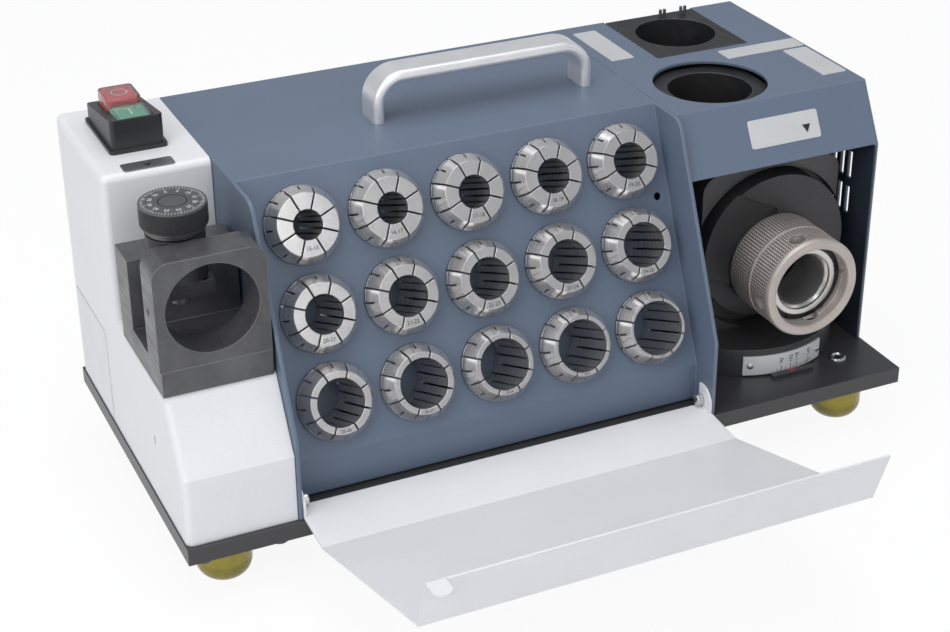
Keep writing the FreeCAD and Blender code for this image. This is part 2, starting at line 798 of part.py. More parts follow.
def build_right_housing():
    made = body("right_housing")
    drawn = sketch_on(made, "YZ_Plane", X_RIGHT)
    outline(drawn, [
        ("brow_front", "0"),
        ("brow_front", "brow_height"),
        ("brow_back", "cover_height"),
        (Y_BACK, "cover_height"),
        (Y_BACK, "0"),
    ])
    width = f"({X_RIGHT_END} - {X_RIGHT})"
    pad(made, drawn, width)
    inner = sketch_on(made, "YZ_Plane", X_RIGHT)
    lean = "(brow_back - brow_front)/(cover_height - brow_height)"
    setback = f"sheet*sqrt(1 + ({lean})^2)"
    outline(inner, [
        ("brow_front - sheet", "-sheet"),
        ("brow_front - sheet", "brow_height"),
        (f"brow_front + {setback}", "brow_height"),
        (f"brow_back - sheet*{lean} + {setback}", "cover_height - sheet"),
        (f"{Y_BACK} - sheet", "cover_height - sheet"),
        (f"{Y_BACK} - sheet", "-sheet"),
    ])
    pocket(made, inner, f"{width} - sheet", ahead=True)
    ports = sketch_on(made, "XY_Plane", "cover_height")
    ring(ports, FRONT_PORT_X, "front_port_back", "front_cutout_diameter")
    half = "(rear_port_width/2 + cutout_clearance)"
    rectangle(ports, f"{REAR_PORT_X} - {half}", f"{REAR_PORT_X} + {half}",
              "rear_port_back - rear_port_depth/2 - cutout_clearance", f"{Y_BACK} + sheet")
    pocket(made, ports, "rear_port_height - rear_port_rise + cutout_clearance")
    vents = sketch_on(made, "YZ_Plane", f"{X_RIGHT_END} - sheet")
    for row in range(VENT_ROWS):
        for column in range(VENT_COLUMNS):
            front = f"vent_front + {column}*vent_pitch"
            low = f"vent_low + {row}*vent_row_pitch"
            rectangle(vents, front, f"{front} + vent_width", low, f"{low} + vent_height")
    pocket(made, vents, "sheet", ahead=True)
    place(made)


def build_ports():
    made = body("front_port")
    drawn = sketch_on(made, "XY_Plane", "cover_height - front_port_drop")
    rectangle(drawn, STAND_FACE, f"{STAND_FACE} + front_port_width", "front_port_back - front_port_depth/2",
              "front_port_back + front_port_depth/2")
    ring(drawn, FRONT_PORT_X, "front_port_back", PORT_BORE)
    pad(made, drawn, "front_port_height", back=True)
    place(made)

    made = body("rear_port")
    drawn = sketch_on(made, "XY_Plane", "cover_height + rear_port_rise")
    left = f"{REAR_PORT_X} - rear_port_width/2"
    front = "rear_port_back - rear_port_depth/2"
    rectangle(drawn, left, f"{REAR_PORT_X} + rear_port_width/2", front, f"{front} + rear_port_depth")
    pad(made, drawn, "rear_port_height", back=True)
    lug = sketch_on(made, "XY_Plane", "cover_height + rear_port_rise - rear_port_height")
    rectangle(lug, STAND_FACE, REAR_PORT_X, "rear_port_back - port_lug_depth/2",
              "rear_port_back + port_lug_depth/2")
    pad(made, lug, "port_lug_height")
    bore = sketch_on(made, "XY_Plane", "cover_height + rear_port_rise")
    ring(bore, REAR_PORT_X, "rear_port_back", PORT_BORE)
    pocket(made, bore, "rear_port_height")
    place(made)

    pins = []
    for pair in ("0", "pin_pair_pitch"):
        for side in ("0", "pin_pitch"):
            x = f"{REAR_PORT_X} + pin_side + {pair} + {side}"
            y = f"{front} + rear_port_depth - pin_edge"
            pins.append(rod(x, y, "cover_height + rear_port_rise", "pin_diameter", "pin_height"))
    place(joined("port_pins", pins))

    made = body("port_stand")
    drawn = sketch_on(made, "YZ_Plane", STAND_X)
    rectangle(drawn, "stand_front", "stand_back", "0", "stand_height")
    ring(drawn, "spindle_back", "spindle_height", "bearing_diameter")
    pad(made, drawn, "stand_thickness")
    place(made)


def build_motor():
    made = body("motor_housing")
    seat = "bearing_diameter/2 + press_clearance"
    cavity = "motor_diameter/2 - motor_wall"
    revolve(made, [
        (seat, "0"),
        ("motor_diameter/2", "0"),
        ("motor_diameter/2", "motor_length"),
        (seat, "motor_length"),
        (seat, "motor_length - bearing_width"),
        (cavity, "motor_length - bearing_width"),
        (cavity, "bearing_width"),
        (seat, "bearing_width"),
    ])
    place(made, MOTOR_START, "spindle_back", "spindle_height", UPRIGHT_X)

    made = body("motor_bearings")
    inner = "shaft_diameter/2 + running_clearance"
    rings = []
    for low, high in (("0", "bearing_width"), ("motor_length - bearing_width", "motor_length")):
        rings.append([(inner, low), ("bearing_diameter/2", low), ("bearing_diameter/2", high), (inner, high)])
    revolve(made, *rings)
    place(made, MOTOR_START, "spindle_back", "spindle_height", UPRIGHT_X)

    made = body("motor_shaft")
    shoulder = f"({WHEEL_X} - wheel_flange_width - {MOTOR_START})"
    rotor_low = "(bearing_width + rotor_gap)"
    rotor_high = "(motor_length - bearing_width - rotor_gap)"
    tip = f"({shoulder} + 2*wheel_flange_width + wheel_width + wheel_nut_width + nose_end)"
    revolve(made, [
        ("0", "-shaft_tail"),
        ("shaft_diameter/2", "-shaft_tail"),
        ("shaft_diameter/2", rotor_low),
        ("rotor_diameter/2", rotor_low),
        ("rotor_diameter/2", rotor_high),
        ("shaft_diameter/2", rotor_high),
        ("shaft_diameter/2", shoulder),
        ("nose_diameter/2", shoulder),
        ("nose_diameter/2", tip),
        ("0", tip),
    ])
    place(made, MOTOR_START, "spindle_back", "spindle_height", UPRIGHT_X)

    middle = f"({MOTOR_START} + motor_length/2 - cradle_length/2)"
    saddle = box(middle, "spindle_back - cradle_depth/2", "0", "cradle_length", "cradle_depth", "cradle_height")
    hollow = rod(MOTOR_START, "spindle_back", "spindle_height", "motor_diameter + 2*press_clearance",
                 "motor_length", UPRIGHT_X)
    place(cut("motor_cradle", saddle, hollow))


def build_wheel():
    bore = "nose_diameter/2 + press_clearance"
    left = "-wheel_flange_width"
    right = "wheel_width + wheel_flange_width"
    made = body("grinding_wheel")
    rim = "wheel_diameter/2"
    revolve(made, [(bore, "0"), (rim, "0"), (rim, "wheel_width"), (bore, "wheel_width")])
    place(made, WHEEL_X, "spindle_back", "spindle_height", UPRIGHT_X)
    made = body("wheel_flanges")
    edge = "wheel_flange_diameter/2"
    revolve(made, [(bore, left), (edge, left), (edge, "0"), (bore, "0")],
            [(bore, "wheel_width"), (edge, "wheel_width"), (edge, right), (bore, right)])
    place(made, WHEEL_X, "spindle_back", "spindle_height", UPRIGHT_X)
    prism = doc.addObject("Part::Prism", "hexagon")
    prism.Polygon = 6
    bind(prism, "Circumradius", "wheel_nut_diameter/2")
    bind(prism, "Height", "wheel_nut_width")
    hole = rod("0", "0", "0", "nose_diameter + 2*press_clearance", "wheel_nut_width")
    place(cut("wheel_nut", prism, hole), f"{WHEEL_X} + {right}", "spindle_back", "spindle_height", UPRIGHT_X)


def build_electrics():
    made = named(doc.addObject("Part::Cylinder", "capacitor"), "capacitor")
    bind(made, "Radius", "capacitor_diameter/2")
    bind(made, "Height", "capacitor_height")
    place(made, LEFT_MIDDLE, "capacitor_back", "0")

    made = body("cable_gland")
    bore = "gland_bore/2"
    nut = "gland_nut_diameter/2"
    neck = "gland_diameter/2"
    revolve(made, [
        (bore, "-2*sheet"), (nut, "-2*sheet"), (nut, "-sheet"), (neck, "-sheet"), (neck, "0"),
        (nut, "0"), (nut, "gland_reach/2"), (f"{nut} - gland_reach/4", "gland_reach"), (bore, "gland_reach"),
    ])
    place(made, LEFT_MIDDLE, Y_BACK, "gland_height", TOWARDS_BACK)


def button_spots():
    """Front edges of the start and stop buttons, with each one's rise above the cover."""
    start = "(switch_front + button_edge)"
    return {
        "start_button": (start, "start_button_rise"),
        "stop_button": (f"({start} + button_depth + button_land)", "stop_button_rise"),
    }


def build_switch():
    made = body("switch_body")
    drawn = sketch_on(made, "YZ_Plane", SWITCH_X)
    back = "(switch_front + switch_depth)"
    outline(drawn, [
        ("switch_front", "cover_height"),
        (back, "cover_height"),
        (back, "cover_height + switch_back_rise"),
        ("switch_front", "cover_height + switch_front_rise"),
    ])
    pad(made, drawn, "switch_width")
    round_edges(made, "switch_round", stands)
    rim = sketch_on(made, "XY_Plane", "cover_height")
    rectangle(rim, f"{SWITCH_X} - switch_flange", f"{SWITCH_X} + switch_width + switch_flange",
              "switch_front - switch_flange", f"{back} + switch_flange")
    pad(made, rim, "switch_flange_height")
    ends = (value(f"{SWITCH_X} - switch_flange"), value(f"{SWITCH_X} + switch_width + switch_flange"))
    round_edges(made, "switch_round",
                lambda edge: stands(edge) and any(lies_at(edge, "x", end) for end in ends))
    plug = sketch_on(made, "XY_Plane", "cover_height")
    rectangle(plug, f"{SWITCH_X} + switch_plug_inset", f"{SWITCH_X} + switch_width - switch_plug_inset",
              "switch_front + switch_plug_inset", f"{back} - switch_plug_inset")
    pad(made, plug, "switch_plug_depth", back=True)
    for front, rise in button_spots().values():
        well = sketch_on(made, "XY_Plane", "cover_height + switch_front_rise")
        rectangle(well, f"{SWITCH_X} + button_side - button_clearance",
                  f"{SWITCH_X} + button_side + button_width + button_clearance",
                  f"{front} - button_clearance", f"{front} + button_depth + button_clearance")
        pocket(made, well, f"switch_front_rise - {rise} + button_height + button_travel + button_clearance")
    place(made)
    for name, (front, rise) in button_spots().items():
        made = body(name)
        drawn = sketch_on(made, "XY_Plane", f"cover_height + {rise}")
        rectangle(drawn, f"{SWITCH_X} + button_side", f"{SWITCH_X} + button_side + button_width",
                  front, f"{front} + button_depth")
        pad(made, drawn, "button_height", back=True)
        place(made)


def bar_section(drawn, left, right, front, back, radius):
    """Draws a flat bar's section with all four corners round."""
    outline(drawn, [
        (f"{left} + {radius}", front),
        (f"{right} - {radius}", front, (1, radius)),
        (right, f"{front} + {radius}"),
        (right, f"{back} - {radius}", (1, radius)),
        (f"{right} - {radius}", back),
        (f"{left} + {radius}", back, (1, radius)),
        (left, f"{back} - {radius}"),
        (left, f"{front} + {radius}", (1, radius)),
    ])


def build_handle():
    made = body("handle")
    path = sketch_on(made, "XZ_Plane", "-handle_back")
    top = "cover_height + handle_rise"
    right = f"{HANDLE_X} + handle_span"
    outline(path, [
        (HANDLE_X, "cover_height"),
        (HANDLE_X, f"{top} - handle_bend", (-1, "handle_bend")),
        (f"{HANDLE_X} + handle_bend", top),
        (f"{right} - handle_bend", top, (-1, "handle_bend")),
        (right, f"{top} - handle_bend"),
        (right, "cover_height"),
    ], closed=False)
    section = sketch_on(made, "XY_Plane", "cover_height")
    bar_section(section, f"{HANDLE_X} - handle_thickness/2", f"{HANDLE_X} + handle_thickness/2",
                "handle_back - handle_depth/2", "handle_back + handle_depth/2", "handle_round")
    doc.recompute()
    pipe = made.newObject("PartDesign::AdditivePipe", "handle_bar")
    pipe.Profile = section
    pipe.Spine = path
    holes = sketch_on(made, "XY_Plane", "cover_height")
    for side in ("0", "handle_span"):
        ring(holes, f"{HANDLE_X} + {side}", "handle_back", "handle_screw_diameter + 2*press_clearance")
    pocket(made, holes, "handle_screw_grip + press_clearance", ahead=True)
    place(made)
    screws = []
    for side in ("0", "handle_span"):
        x = f"{HANDLE_X} + {side}"
        under = "cover_height - sheet"
        screws.append(rod(x, "handle_back", under, "handle_screw_diameter", "sheet + handle_screw_grip"))
        screws.append(rod(x, "handle_back", f"{under} - handle_screw_head_height", "handle_screw_head",
                          "handle_screw_head_height"))
    place(joined("handle_screws", screws))


def build_tray():
    """Folded tray: an apron at the pivots, a floor that rises to the front, a lip, and an ear at each end."""
    runs = [("apron_length", "-apron_fall"), ("floor_length", "floor_rise"), ("lip_length", "lip_rise")]
    spots = [(TRAY_Y, TRAY_Z)]
    for length, rise in runs:
        y, z = spots[-1]
        spots.append((f"{y} - {length}*cos({rise})", f"{z} + {length}*sin({rise})"))
    rises = [runs[0][1]] + [rise for length, rise in runs] + [runs[-1][1]]
    under = []
    for (y, z), before, after in zip(spots, rises, rises[1:]):
        middle = f"(({before}) + ({after}))/2"
        reach = f"tray_sheet/cos((({after}) - ({before}))/2)"
        under.append((f"{y} - {reach}*sin({middle})", f"{z} - {reach}*cos({middle})"))
    made = body("tray")
    drawn = sketch_on(made, "YZ_Plane", TRAY_LEFT)
    outline(drawn, spots + under[::-1])
    pad(made, drawn, f"{TRAY_RIGHT} - {TRAY_LEFT}")
    tab = sketch_on(made, "XY_Plane", spots[-1][1])
    curve = (1, "tab_width/2")
    bend = f"{TRAY_FRONT} + tab_width/2"
    outline(tab, [
        (TRAY_LEFT, LIP_Y),
        (TRAY_LEFT, bend, curve),
        (f"{TRAY_LEFT} + tab_width/2", TRAY_FRONT, curve),
        (f"{TRAY_LEFT} + tab_width", bend),
        (f"{TRAY_LEFT} + tab_width", LIP_Y),
    ])
    pad(made, tab, "tray_sheet", back=True)
    for start in (TRAY_LEFT, f"{TRAY_RIGHT} - ear_sheet"):
        ear = sketch_on(made, "YZ_Plane", start)
        front = "pivot_back - ear_radius"
        outline(ear, [
            (front, f"{TRAY_Z} - (ear_radius + tray_rear_reach)*tan(apron_fall) - tray_sheet/2"),
            ("pivot_back + tray_rear_reach", f"{TRAY_Z} - tray_sheet/2"),
            ("pivot_back + ear_rear", TRAY_Z),
            ("pivot_back + ear_rear", "pivot_height + ear_radius"),
            ("pivot_back", "pivot_height + ear_radius", (1, "ear_radius")),
            (front, "pivot_height"),
        ])
        ring(ear, "pivot_back", "pivot_height", "pivot_diameter + 2*running_clearance")
        pad(made, ear, "ear_sheet")
    place(made)
    shank = "sheet + tray_side_gap + ear_sheet + seam"
    inner = f"{X_MAIN} + {shank}"
    screws = [
        rod(X_MAIN, "pivot_back", "pivot_height", "pivot_diameter", shank, UPRIGHT_X),
        rod(inner, "pivot_back", "pivot_height", "pivot_head_diameter", "pivot_head_height", UPRIGHT_X),
        rod(f"{X_MAIN_END} - ({shank})", "pivot_back", "pivot_height", "pivot_diameter", shank, UPRIGHT_X),
        rod(f"{X_MAIN_END} - ({shank}) - pivot_head_height", "pivot_back", "pivot_height",
            "pivot_head_diameter", "pivot_head_height", UPRIGHT_X),
    ]
    place(joined("tray_screws", screws))


def build_gauge():
    made = body("gauge_base")
    drawn = sketch_on(made, "YZ_Plane", X_LEFT)
    end = "(gauge_front + gauge_depth)"
    outline(drawn, [
        ("gauge_front", "ledge_height"), (end, "ledge_height"), (end, CARRIER_Z), (GAUGE_BACK, CARRIER_Z),
        (GAUGE_BACK, GAUGE_TOP), ("gauge_front", GAUGE_TOP),
    ])
    pad(made, drawn, "gauge_width")
    place(made)

    made = body("gauge_block")
    drawn = sketch_on(made, "XZ_Plane", "-gauge_front")
    right = f"({X_LEFT} + gauge_width)"
    top = f"({GAUGE_TOP} + gauge_block_height)"
    rounded_block(drawn, f"{X_LEFT} - gauge_block_overhang", right, GAUGE_TOP, top, "gauge_block_round")
    ring(drawn, f"{X_LEFT} + gauge_bore_side", f"{GAUGE_TOP} + gauge_bore_height", PORT_BORE)
    pad(made, drawn, "gauge_block_depth", back=True)
    place(made)

    made = body("gauge_carrier")
    drawn = sketch_on(made, "XY_Plane", f"{CARRIER_Z} - carrier_sink")
    ring(drawn, KNOB_X, KNOB_Y, f"{GAUGE_SLOT} - 2*press_clearance")
    ring(drawn, KNOB_X, KNOB_Y, "spindle_screw_diameter + 2*running_clearance")
    pad(made, drawn, "carrier_height")
    place(made)

    made = body("gauge_knob")
    grip = "knob_diameter/2"
    neck = "knob_neck_diameter/2"
    screw = "spindle_screw_diameter/2"
    low = "-carrier_height - spindle_screw_length"
    revolve(made, [
        ("0", low), (screw, low), (screw, "seam"), (neck, "seam"), (neck, "knob_lift"),
        (f"{grip} - knob_chamfer", "knob_lift"), (grip, "knob_lift + knob_chamfer_height"),
        (grip, "knob_lift + knob_height"), ("0", "knob_lift + knob_height"),
    ])
    place(made, KNOB_X, KNOB_Y, f"{CARRIER_Z} - carrier_sink + carrier_height")

    made = body("gauge_stop")
    drawn = sketch_on(made, "XY_Plane", f"{CARRIER_Z} - stop_drop")
    rectangle(drawn, f"{KNOB_X} - stop_width/3", f"{KNOB_X} + 2*stop_width/3", f"{KNOB_Y} - stop_depth/2",
              f"{KNOB_Y} + stop_depth/2")
    ring(drawn, KNOB_X, KNOB_Y, "spindle_screw_diameter + 2*running_clearance")
    pad(made, drawn, "stop_height")
    place(made)


def rounded_block(drawn, left, right, low, top, radius):
    """Draws an upright block with its two top corners round."""
    outline(drawn, [
        (left, low),
        (right, low),
        (right, f"{top} - {radius}", (1, radius)),
        (f"{right} - {radius}", top),
        (f"{left} + {radius}", top, (1, radius)),
        (left, f"{top} - {radius}"),
    ])


def build_swivel():
    made = body("swivel_base")
    drawn = sketch_on(made, "XY_Plane", "swivel_gap")
    ring(drawn, SWIVEL_X, "swivel_back", "swivel_diameter")
    ring(drawn, SWIVEL_X, "swivel_back", "swivel_pivot_diameter + 2*running_clearance")
    pad(made, drawn, "swivel_height")
    trim = sketch_on(made, "XY_Plane", SWIVEL_TOP)
    rectangle(trim, f"{SWIVEL_X} - swivel_diameter", f"{SWIVEL_X} - swivel_flat",
              "swivel_back - swivel_diameter", "swivel_back + swivel_diameter")
    pocket(made, trim, "swivel_height")
    sunk = sketch_on(made, "XY_Plane", SWIVEL_TOP)
    ring(sunk, SWIVEL_X, "swivel_back", "swivel_head_diameter + 2*cutout_clearance")
    pocket(made, sunk, "swivel_head_height + 2*swivel_gap")
    place(made)

    low = "-base_thickness"
    head = f"({SWIVEL_TOP} - swivel_gap - swivel_head_height)"
    place(joined("swivel_pivot", [
        rod(SWIVEL_X, "swivel_back", low, "swivel_pivot_diameter", f"{head} - ({low})"),
        rod(SWIVEL_X, "swivel_back", head, "swivel_head_diameter", "swivel_head_height"),
    ]))

    made = body("scale_plate")
    drawn = sketch_on(made, "XY_Plane", "swivel_gap + scale_lift")
    near = "swivel_diameter/2"
    far = "(swivel_diameter/2 + scale_thickness)"
    spots = []
    for radius, angle in ((far, "scale_start"), (far, "scale_end"), (near, "scale_end"), (near, "scale_start")):
        spots.append((f"{SWIVEL_X} + {radius}*cos({angle})", f"swivel_back + {radius}*sin({angle})"))
    outline(drawn, [spots[0] + ((1, far),), spots[1], spots[2] + ((-1, near),), spots[3]])
    pad(made, drawn, "scale_height")
    place(made)

    front = f"swivel_back - {far} - pointer_gap - pointer_depth"
    made = named(doc.addObject("Part::Box", "angle_pointer"), "angle_pointer")
    for name, text in (("Length", "pointer_width"), ("Width", "pointer_depth"), ("Height", "pointer_height")):
        bind(made, name, text)
    place(made, f"{X_RIGHT} + pointer_side", front, "0")

    made = body("port_block")
    drawn = sketch_on(made, "XZ_Plane", "-block_front")
    rounded_block(drawn, f"{CHUCK_X} - block_width/2", f"{CHUCK_X} + block_width/2", SWIVEL_TOP, "block_top",
                  "block_round")
    ring(drawn, CHUCK_X, "chuck_height", PORT_BORE)
    pad(made, drawn, "block_depth", back=True)
    recess = sketch_on(made, "XZ_Plane", "-block_front")
    ring(recess, CHUCK_X, "chuck_height + recess_rise", "2*recess_radius")
    pocket(made, recess, "recess_depth")
    place(made)


def build_chuck():
    """Chuck with its cam flange, sleeve, knurled collar and nut, on a Z axis that points to the front."""
    spot = (CHUCK_X, "flange_face", "chuck_height", TOWARDS_FRONT)
    made = body("chuck_flange")
    drawn = sketch_on(made, "XY_Plane")
    ring(drawn, "0", "flange_rise", "2*flange_radius")
    pad(made, drawn, "flange_thickness", back=True)
    wide = "2*flange_radius"
    low = "-spigot_diameter/2"
    step_side = f"{low} + {wide}*tan(step_lean)"
    cam = sketch_on(made, "XY_Plane")
    cam_side = f"cam_top + {wide}*tan(cam_lean)"
    outline(cam, [(f"-{wide}", cam_side), (f"-{wide}", step_side), ("0", low), ("0", "cam_top")])
    pocket(made, cam, "cam_step")
    step = sketch_on(made, "XY_Plane")
    outline(step, [(f"-{wide}", step_side), (f"-{wide}", f"-{wide}"), (wide, f"-{wide}"), (wide, low),
                   ("0", low)])
    pocket(made, step, "flange_step")
    hub = sketch_on(made, "XY_Plane")
    ring(hub, "0", "0", "collar_diameter")
    pad(made, hub, "flange_thickness", back=True)
    sleeve = sketch_on(made, "XY_Plane", "-flange_thickness")
    ring(sleeve, "0", "0", "sleeve_diameter")
    pad(made, sleeve, "sleeve_length", back=True)
    bore = sketch_on(made, "XY_Plane")
    ring(bore, "0", "0", "chuck_bore")
    pocket(made, bore, "flange_thickness + sleeve_length")
    place(made, *spot)

    made = body("chuck_body")
    inner = "chuck_bore/2"
    outer = "collar_diameter/2"
    spigot = "spigot_diameter/2"
    spigot_end = "(collar_length + spigot_length)"
    revolve(made, [(inner, "0"), (outer, "0"), (outer, "collar_length"), (spigot, "collar_length"),
                   (spigot, spigot_end), (inner, spigot_end)])
    place(made, *spot)

    made = body("chuck_ring")
    ring_end = f"{spigot_end} + ring_length"
    hole = "ring_inner/2"
    revolve(made, [(hole, spigot_end), (spigot, spigot_end), (spigot, ring_end), (hole, ring_end)])
    place(made, *spot)

    made = body("chuck_nut")
    nut_end = f"({NUT_START} + nut_length)"
    thread = f"{spigot} + running_clearance"
    mouth = f"{spigot_end} + 2*ring_length"
    revolve(made, [(thread, NUT_START), (outer, NUT_START), (outer, nut_end), ("nut_mouth/2", nut_end),
                   ("nut_mouth/2", mouth), (thread, mouth)])
    for role in ("XZ_Plane", "YZ_Plane"):
        hole = sketch_on(made, role)
        hole.AttachmentOffset = FreeCAD.Placement(FreeCAD.Vector(), FreeCAD.Rotation(*UPRIGHT_X))
        bind(hole, "AttachmentOffset.Rotation.Angle", "nut_hole_turn")
        ring(hole, "0", f"{NUT_START} + nut_hole_place", "nut_hole_diameter")
        pocket(made, hole, "2*collar_diameter", both=True)
    place(made, *spot)


def check_and_write():
    """Stops at any failed object, then writes each piece to its own file."""
    doc.recompute()
    failed = [thing.Label for thing in doc.Objects if {"Invalid", "Error"} & set(thing.State)]
    if failed:
        raise RuntimeError(f"failed objects: {failed}")
    for piece in pieces:
        if piece.Shape.isNull() or not piece.Shape.isValid() or not piece.Shape.Solids:
            raise RuntimeError(f"{piece.Label} has no valid solid")
    os.makedirs("parts", exist_ok=True)
    for piece in pieces:
        piece.Shape.exportStep(f"parts/{piece.Label}.step")
    print(f"{len(pieces)} pieces written")


build_base()
build_feet()
build_left_housing()
build_main_cover()
build_back_plate()
for order, (column_place, row_place) in enumerate(collet_spots()):
    build_collet(order, column_place, row_place)
build_right_housing()
build_ports()
build_motor()
build_wheel()
build_electrics()
build_switch()
build_handle()
build_tray()
build_gauge()
build_swivel()
build_chuck()
check_and_write()
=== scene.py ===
"""Looks of the drill bit sharpener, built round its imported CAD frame.

Lengths are metres unless a name says mm.
"""

import json
import math

import bpy
from mathutils import Matrix, Vector


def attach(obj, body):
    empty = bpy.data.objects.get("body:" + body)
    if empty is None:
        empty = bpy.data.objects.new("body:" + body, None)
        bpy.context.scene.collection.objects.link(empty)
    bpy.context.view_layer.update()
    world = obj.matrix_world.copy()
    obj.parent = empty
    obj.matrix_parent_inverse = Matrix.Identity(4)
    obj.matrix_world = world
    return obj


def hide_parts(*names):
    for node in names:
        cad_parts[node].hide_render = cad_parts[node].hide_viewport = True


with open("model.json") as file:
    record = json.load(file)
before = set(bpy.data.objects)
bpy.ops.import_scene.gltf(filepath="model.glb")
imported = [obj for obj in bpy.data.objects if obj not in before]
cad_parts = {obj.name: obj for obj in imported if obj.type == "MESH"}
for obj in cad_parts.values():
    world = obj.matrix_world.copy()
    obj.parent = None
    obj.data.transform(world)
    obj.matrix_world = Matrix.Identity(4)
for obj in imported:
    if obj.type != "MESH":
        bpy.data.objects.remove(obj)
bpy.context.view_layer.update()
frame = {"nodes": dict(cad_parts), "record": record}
nodes = frame["nodes"]

# Places on the CAD in mm, from the base plate's top front left corner
CORNER_MM = Vector((-215.0, -24.0558, 36.5))
LEFT_SIDE_MM = 0.8
HOUSING_TOP_MM = 158.7
SLOPE_LOW_MM = 126.0
SLOPE_FRONT_MM = 39.7
SLOPE_BACK_MM = 57.6
CHUCK_MM = (371.0, 49.2, 60.8)
KNOB_MM = (23.0, 57.0)
SWIVEL_MM = (367.0, 84.0)

# Collet rack: rows and columns on a panel that leans back from its foot
LEAN = math.radians(23.5)
PANEL_FOOT_Y_MM = 1.2
PANEL_FOOT_Z_MM = 45
PANEL_MIDDLE_MM = 185.1
RACK_DEPTH_MM = 25.4
COLLET_BORES = range(16, 31)
COLLETS_IN_ROW = 5
COLLET_PITCH_MM = 46.5
COLLET_STAND_MM = 12
FIRST_ROW_DROP_MM = 28
FACE_RADIUS_MM = 16.5

# Details that many pieces share
BEVEL_STEPS = 3
PLATE_BEVEL = 0.00012
PAINT_EDGE = 0.0003
SLEEVE_MM = 0.3
TOOTH_STEPS = 4
KNURL_RADIUS_MM = 29.0
# Radii in metres within which the knurl is darkened as painted shade in its grooves
KNURL_GROOVE_SHADE = ((KNURL_RADIUS_MM + 0.05) / 1000, (KNURL_RADIUS_MM + 0.32) / 1000)


def spot(x, y, z):
    """A place in the frame, from mm on the base plate."""
    return (Vector((x, y, z)) + CORNER_MM) / 1000


def stood(x, y, z, right=(1, 0, 0), up=(0, 1, 0)):
    """A matrix at a place in mm whose X runs right and whose Y runs up the face, with Z out of it."""
    across = Vector(right).normalized()
    out = across.cross(Vector(up)).normalized()
    along = out.cross(across)
    turn = Matrix((across, along, out)).transposed().to_4x4()
    return Matrix.Translation(spot(x, y, z)) @ turn


# Materials

def start(name):
    """A new material with its tree, main shader and object coordinates."""
    material = bpy.data.materials.new(name)
    material.use_nodes = True
    tree = material.node_tree
    shader = tree.nodes["Principled BSDF"]
    coords = tree.nodes.new("ShaderNodeTexCoord")
    return material, tree, shader, coords.outputs["Object"]


def noise(tree, vector, scale, detail=3.0, rough=0.55):
    node = tree.nodes.new("ShaderNodeTexNoise")
    node.inputs["Scale"].default_value = scale
    node.inputs["Detail"].default_value = detail
    node.inputs["Roughness"].default_value = rough
    tree.links.new(vector, node.inputs["Vector"])
    return node.outputs["Fac"]


def ranged(tree, value, low, high, start_at=0.3, end_at=0.7):
    """Maps a value onto a new range, held at its ends."""
    node = tree.nodes.new("ShaderNodeMapRange")
    for key, number in (("From Min", start_at), ("From Max", end_at), ("To Min", low), ("To Max", high)):
        node.inputs[key].default_value = number
    tree.links.new(value, node.inputs["Value"])
    return node.outputs["Result"]


def mixed(tree, factor, first, second):
    """Mixes two colours, each a tuple or a socket."""
    node = tree.nodes.new("ShaderNodeMix")
    node.data_type = "RGBA"
    tree.links.new(factor, node.inputs["Factor"])
    for key, colour in (("A", first), ("B", second)):
        socket = next(item for item in node.inputs if item.name == key and item.type == "RGBA")
        if isinstance(colour, tuple):
            socket.default_value = (*colour, 1)
        else:
            tree.links.new(colour, socket)
    return next(item for item in node.outputs if item.type == "RGBA")


def scaled(colour, factor):
    return tuple(min(channel * factor, 1) for channel in colour)


def rounded(tree, radius):
    """Normals that run round sharp edges, and how much each spot's normal was turned."""
    bevel = tree.nodes.new("ShaderNodeBevel")
    bevel.samples = 4
    bevel.inputs["Radius"].default_value = radius
    geometry = tree.nodes.new("ShaderNodeNewGeometry")
    dot = tree.nodes.new("ShaderNodeVectorMath")
    dot.operation = "DOT_PRODUCT"
    tree.links.new(bevel.outputs["Normal"], dot.inputs[0])
    tree.links.new(geometry.outputs["Normal"], dot.inputs[1])
    return bevel.outputs["Normal"], ranged(tree, dot.outputs["Value"], 1, 0, 0.72, 0.99)


def bumped(tree, shader, height, strength, distance, normal=None):
    node = tree.nodes.new("ShaderNodeBump")
    node.inputs["Strength"].default_value = strength
    node.inputs["Distance"].default_value = distance
    tree.links.new(height, node.inputs["Height"])
    if normal is not None:
        tree.links.new(normal, node.inputs["Normal"])
    tree.links.new(node.outputs["Normal"], shader.inputs["Normal"])


def left_and_below(tree, place, corner):
    """One left of and below a corner given by its X and Z, and none elsewhere: the mask of the painted recess
    shade.
    """
    parts = tree.nodes.new("ShaderNodeSeparateXYZ")
    tree.links.new(place, parts.inputs["Vector"])
    both = tree.nodes.new("ShaderNodeMath")
    both.operation = "MULTIPLY"
    for side, (axis, limit) in enumerate(zip("XZ", corner)):
        recess_shade = ranged(tree, parts.outputs[axis], 1, 0, limit - PAINT_EDGE, limit + PAINT_EDGE)
        tree.links.new(recess_shade, both.inputs[side])
    return both.outputs["Value"]


